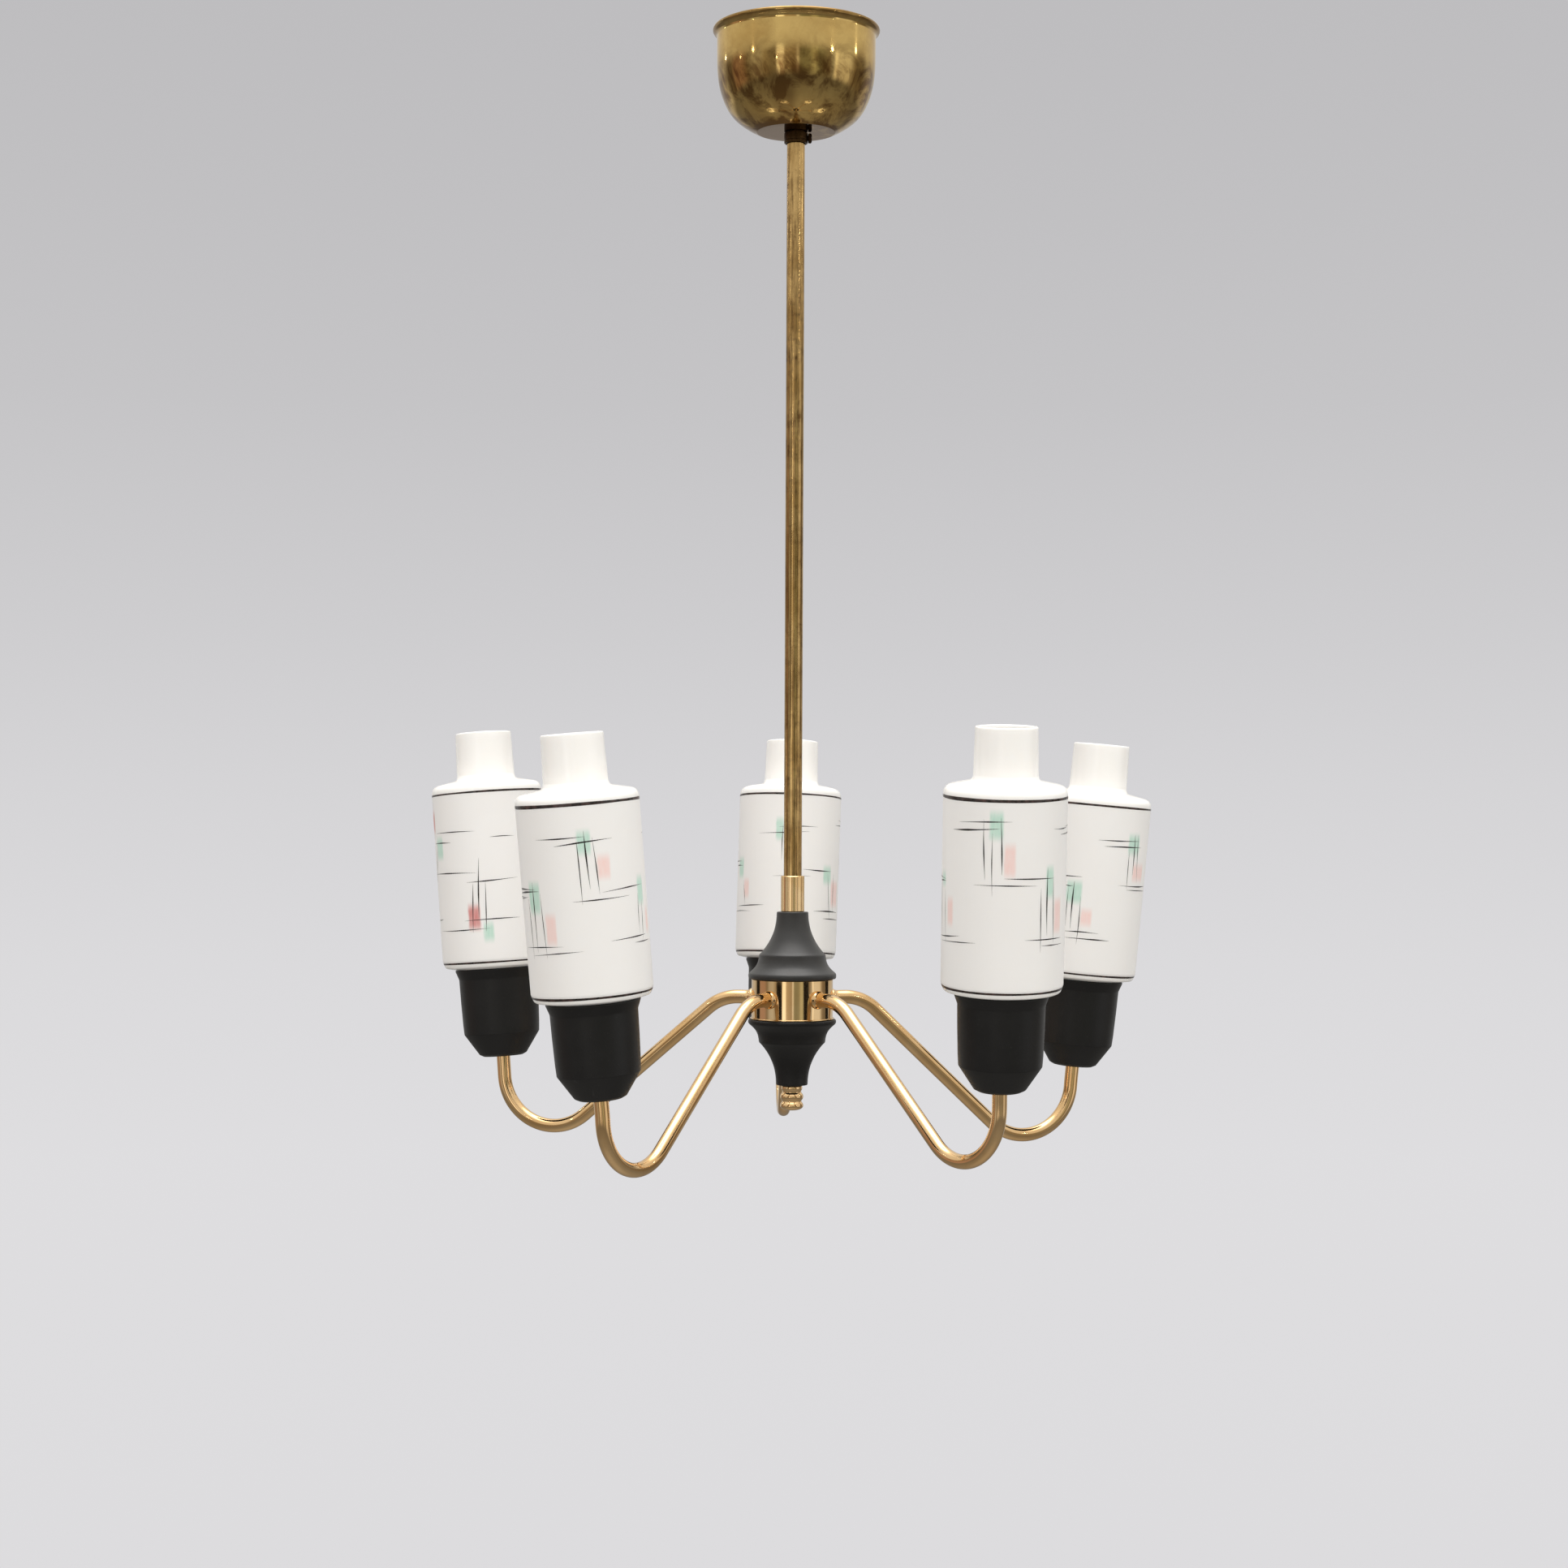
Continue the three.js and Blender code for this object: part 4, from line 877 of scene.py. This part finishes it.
def band(shape, M, t, width, rng, lift=0.12, n=200):
    ph = [rng.uniform(0, TAU) for _ in range(3)]
    rings = []
    for i in range(n):
        a = TAU * i / n
        w = width * 0.5 * (1 + 0.13 * math.sin(2 * a + ph[0]) + 0.07 * math.sin(5 * a + ph[1]))
        tt = t + 0.12 * math.sin(a + ph[2])
        pts = []
        for dt, up in ((-w, -.03), (-w * .55, lift), (w * .55, lift), (w, -.03), (0, -.1)):
            r = glass_r(tt + dt) + up
            pts.append(M @ Vector((r * math.cos(a), r * math.sin(a), tt + dt)))
        rings.append(pts)
    shape.grid(rings, [i / n for i in range(n)], close_v=True)


for index, (where, rise, sway) in enumerate(ARMS):
    az = Matrix.Rotation(math.radians(90 + 72 * index), 4, "Z")
    P, T, R, axis, foot = arm_line(rise, sway)
    P = [az @ p for p in P]
    T = [(az.to_3x3() @ t) for t in T]
    up = (az.to_3x3() @ Vector((0, 1, 0)))
    make(f"arm_bent_{where}", Shape().pipe(P, T, R, bore=3.5, ring=40, up=up), "frame", BRASS, [f"arm_{where}"])

    e1 = Vector((0, 1, 0)).cross(axis).normalized()
    e2 = axis.cross(e1)
    basis = Matrix((e1, e2, axis)).transposed().to_4x4()
    M = az @ Matrix.Translation(foot) @ basis

    make(f"cup_turned_{where}", Shape().lathe(dense(CUP_LINE + [CUP_LINE[0]], 6.0)[:-1], 112, closed=True, M=M), "frame", LACQUER_SHADED, [f"cup_{where}"])
    make(f"holder_body_{where}", Shape().lathe(HOLDER_LINE, 72, closed=True, M=M), "frame", PHENOLIC, [f"lampholder_{where}"])
    shell_thread = lambda a, r, z: r - 0.14 * (0.5 + 0.5 * math.cos(TAU * z / 2.82 - a))
    shell = [(7.9, 29.5)] + [(7.9, 30 + k) for k in range(0, 17)] + [(7.2, 46.4 - k * 0.47) for k in range(0, 36)]
    make(f"holder_shell_{where}", Shape().lathe(shell, 48, closed=True, M=M, wobble=lambda a, r, z: shell_thread(a, r, z) if r < 7.5 else r),
         "frame", NICKEL)

    # bulb: opal candle glass on a threaded cap
    glass = [(7.15, 46.2), (7.3, 47.0)] + spline([(7.5, 48.5), (8.3, 51.6), (10.8, 56.0), (13.6, 60.6), (15.7, 66.0), (17.0, 72.5), (17.4, 78.5), (17.0, 85.5),
                                                 (15.6, 93.5), (13.2, 102), (10.0, 110.5), (6.9, 117.5), (4.4, 122.6), (2.5, 126.2), (1.0, 127.7)], 4) + [(0, 127.95)]
    make(f"bulb_glass_{where}", Shape().lathe([(0, 46.2)] + glass, 72, M=M), f"bulb_{where}", BULB, [f"bulb_{where}"])
    cap_thread = lambda a, r, z: r - (0.5 * (0.5 + 0.5 * math.cos(TAU * z / 2.82 - a)) if 31.2 < z < 43.6 and r > 6.3 else 0)
    cap = [(0, 26.1), (1.6, 26.1), (2.3, 26.6), (2.4, 27.4), (4.4, 28.4), (5.9, 29.3), (6.5, 30.2), (6.8, 31.0)] + [
        (6.85, 31.2 + k * 0.35) for k in range(36)] + [(6.85, 44.2), (6.75, 45.0), (7.05, 45.6), (7.1, 46.15), (0, 46.15)]
    make(f"bulb_cap_{where}", Shape().lathe(cap, 64, M=M, wobble=cap_thread), f"bulb_{where}", NICKEL)

    # glass, with its painted bands, lines and washes
    lines, washes = painted(where)
    phase = math.radians(FRONT[where]) + math.pi
    shade = Shape().lathe(SHADE_LINE, 128, closed=True, M=M, vs=SHADE_V, phase=phase)
    make(f"glass_{where}", shade, f"shade_{where}", opal(f"opal_glass_{where}", washes), [f"shade_{where}"], sharp=50)
    rng = random.Random(40 + index)
    s = Shape()
    for a0, t0, a1, t1, w in lines:
        stroke(s, M, FRONT[where], a0, t0, a1, t1, w, rng)
    make(f"glass_lines_{where}", s, f"shade_{where}", STROKE, sharp=80)
    s = Shape()
    band(s, M, BAND_T[0], 1.7 if where.startswith("front") else 1.35, rng)
    band(s, M, BAND_T[1], 2.2 if where.startswith("front") else 1.5, rng)
    make(f"glass_bands_{where}", s, f"shade_{where}", BAND, sharp=80)

# pieces sealed inside keep their CAD meshes and get their finish
for name, obj in NODES.items():
    finish = None
    if name in ("centre_tube", "hub_lid", "hub_nut_upper", "hub_nut_lower") or name.startswith("arm_nut_"):
        finish = STEEL
    elif name == "terminal_block":
        finish = PHENOLIC
    elif name.startswith("arm_wire_"):
        finish = SHEATH
    if finish:
        obj.data.materials.clear()
        obj.data.materials.append(finish)

# ------------------------------------------------------ floor and backdrop
stage = Shape()
prof = [(0, -2600), (1500, -2600), (2600, -2590), (3300, -2500), (3800, -2250), (4000, -1800), (4030, -1200), (4040, -500), (4030, 400), (3950, 1200), (3600, 2000), (2800, 2700), (1500, 3100), (0, 3250)]
prof = [prof[0]] + spline(prof[1:-1], 6) + [prof[-1]]
stage.lathe(prof, 96)
# The floor and backdrop glow instead of being lit, with a painted falloff of light: palest near the floor, darker
# towards the top.
room = Mat("stage_painted_glow")
room.t.nodes.remove(room.b)
em = room.node("ShaderNodeEmission")
_, _, zz = room.xyz(room.obj)
srgb = lambda c: ((c / 255 + 0.055) / 1.055) ** 2.4
tone = lambda c: (srgb(c), srgb(c - 1), srgb(c + 1))
h = room.math("MULTIPLY", room.math("ADD", zz, 2.7), 1 / 6.0, clamp=True)
stops = [(-2.7, 219), (-2.1, 221), (-1.30, 222.5), (-0.9, 219), (-0.52, 213), (-0.2, 206), (0.29, 197), (0.7, 193), (1.05, 190.5), (1.6, 188), (3.2, 186)]
em_col = room.ramp(h, [((z + 2.7) / 6.0, tone(c)) for z, c in stops])
room.put(em.inputs[0], em_col)
em.inputs[1].default_value = 1.0
room.t.links.new(em.outputs[0], room.out.inputs[0])
dome = make("stage_floor", stage, None, room.m)
for flag in ("visible_diffuse", "visible_glossy", "visible_transmission", "visible_volume_scatter", "visible_shadow"):
    setattr(dome, flag, False)

# ---------------------------------------------------------------- lights
world = bpy.data.worlds.new("studio")
bpy.context.scene.world = world
world.use_nodes = True
W = Mat.__new__(Mat)
W.t = world.node_tree
W.t.nodes.clear()
W.out = W.t.nodes.new("ShaderNodeOutputWorld")
bg = W.node("ShaderNodeBackground")
W.t.links.new(bg.outputs[0], W.out.inputs[0])
W.tc = W.node("ShaderNodeTexCoord")
x, y, z = W.xyz(W.tc.outputs["Generated"])
az_n = W.node("ShaderNodeMath", operation="ARCTAN2")
W.put(az_n.inputs[0], x)
W.put(az_n.inputs[1], W.math("MULTIPLY", y, -1.0))
phi = W.math("ADD", W.math("MULTIPLY", az_n.outputs[0], 1 / TAU), 0.5)


def env(stops):
    out = []
    for deg, val, tint in stops:
        c = {"w": (1.0, 0.985, 0.96), "n": (1.0, 0.86, 0.68), "r": (1.0, 0.70, 0.60), "g": (0.92, 0.92, 0.70)}[tint]
        out.append(((deg + 180) / 360, tuple(val * q for q in c)))
    return out


left = env([(-180, 0.52, "w"), (-134, 0.58, "w"), (-127, 0.40, "w"), (-120, 0.20, "n"), (-112, 0.24, "n"), (-103, 0.42, "r"), (-88, 0.42, "r"), (-78, 0.26, "n"),
            (-69, 0.5, "w"), (-58, 0.55, "w"), (-49, 0.36, "n"), (-38, 0.24, "n"), (-32, 0.28, "n"), (-29.0, 1.35, "w"), (-21.5, 1.35, "w"), (-18, 0.55, "n"), (-9, 0.46, "n"), (-3.0, 0.42, "n"),
            (-1.0, 0.85, "w"), (0.0, 0.85, "w")])
right = env([(0, 0.85, "w"), (1.0, 0.85, "w"), (3.0, 0.34, "g"), (9, 0.30, "g"), (17, 0.34, "g"), (22, 0.58, "g"), (26, 0.58, "g"), (32, 0.32, "g"), (48, 0.28, "n"), (54, 0.45, "w"), (58, 1.25, "w"),
             (62, 0.8, "w"), (68, 0.8, "w"), (82, 0.78, "w"), (92, 0.30, "n"), (98, 0.22, "n"), (112, 0.20, "n"), (121, 0.40, "w"), (129, 0.58, "w"), (180, 0.52, "w")])
la, ra = W.ramp(phi, left), W.ramp(phi, right)
level = W.mix(W.math("GREATER_THAN", phi, 0.5), la, ra)
over = W.ramp(z, [(0.0, (0.36, 0.35, 0.33)), (0.25, (0.62, 0.59, 0.54)), (0.31, (0.82, 0.79, 0.73)), (0.40, (0.80, 0.78, 0.74)), (0.62, (0.80, 0.79, 0.76)), (0.84, (1.2, 1.18, 1.14)), (0.92, (3.6, 3.55, 3.46)), (1.0, (5.6, 5.5, 5.35))])
under = W.ramp(W.math("MULTIPLY", z, -1.0), [(0.0, (0.30, 0.29, 0.275)), (0.35, (0.22, 0.21, 0.195)), (0.8, (0.30, 0.285, 0.26)), (1.0, (0.42, 0.40, 0.37))])
sky = W.mix(W.step(z, 0.13, 0.24), level, over)
whole = W.mix(W.step(z, -0.34, -0.16), under, sky)
W.put(bg.inputs[0], whole)
bg.inputs[1].default_value = 1.0


def area(name, at, size, power, glossy, target=(0, 0, -0.5), colour=(1, 0.99, 0.97)):
    d = bpy.data.lights.new(name, "AREA")
    d.shape, d.size, d.energy, d.color = "SQUARE", size, power, colour
    o = bpy.data.objects.new(name, d)
    o.location = at
    o.rotation_mode = "QUATERNION"
    o.rotation_quaternion = (Vector(target) - Vector(at)).to_track_quat("-Z", "Y")
    bpy.context.scene.collection.objects.link(o)
    o.visible_camera, o.visible_glossy = False, glossy
    return o


area("fill_left", (-2.0, -2.2, 0.1), 1.6, 16.5, False)
area("fill_right", (2.0, -2.2, 0.1), 1.6, 21.5, False)
area("fill_back", (0.0, 2.6, -0.2), 1.8, 15.0, False)
area("fill_low", (0.0, -0.9, -2.4), 1.8, 7.5, False)
for name, at, power in (("spot_a", (-2.381, -1.042, 0.475), 1.6), ("spot_b", (2.009, -1.663, 0.441), 3.2), ("spot_c", (2.57, 0.121, 0.552), 1.5),
                        ("spot_d", (-2.111, 1.459, 0.529), 1.3), ("spot_e", (-2.61, -0.047, 0.368), 0.5), ("spot_f", (-1.322, -2.298, 0.105), 0.8)):
    d = bpy.data.lights.new(name, "POINT")
    d.energy, d.shadow_soft_size, d.color = power, 0.028, (1, 0.96, 0.88)
    o = bpy.data.objects.new(name, d)
    o.location = at
    bpy.context.scene.collection.objects.link(o)
    o.visible_camera = False

# ---------------------------------------------------------------- camera
cam_data = bpy.data.cameras.new("camera")
cam_data.sensor_width, cam_data.lens = 36.0, 64.69
cam_data.clip_start, cam_data.clip_end = 0.05, 60.0
cam = bpy.data.objects.new("camera", cam_data)
bpy.context.scene.collection.objects.link(cam)
hd, pitch, roll = math.radians(1.875), math.radians(0.34), math.radians(0.255)
fwd, rt, upv = Vector((math.sin(hd), math.cos(hd), 0)), Vector((math.cos(hd), -math.sin(hd), 0)), Vector((0, 0, 1))
f2 = fwd * math.cos(pitch) + upv * math.sin(pitch)
u2 = upv * math.cos(pitch) - fwd * math.sin(pitch)
r3 = rt * math.cos(roll) + u2 * math.sin(roll)
u3 = u2 * math.cos(roll) - rt * math.sin(roll)
cam.matrix_world = Matrix.Translation((-0.07307, -2.03086, -0.55795)) @ Matrix((r3, u3, -f2)).transposed().to_4x4()
bpy.context.scene.camera = cam
bpy.context.scene.view_settings.view_transform = "Standard"
bpy.context.scene.view_settings.look = "None"

bpy.context.view_layer.update()
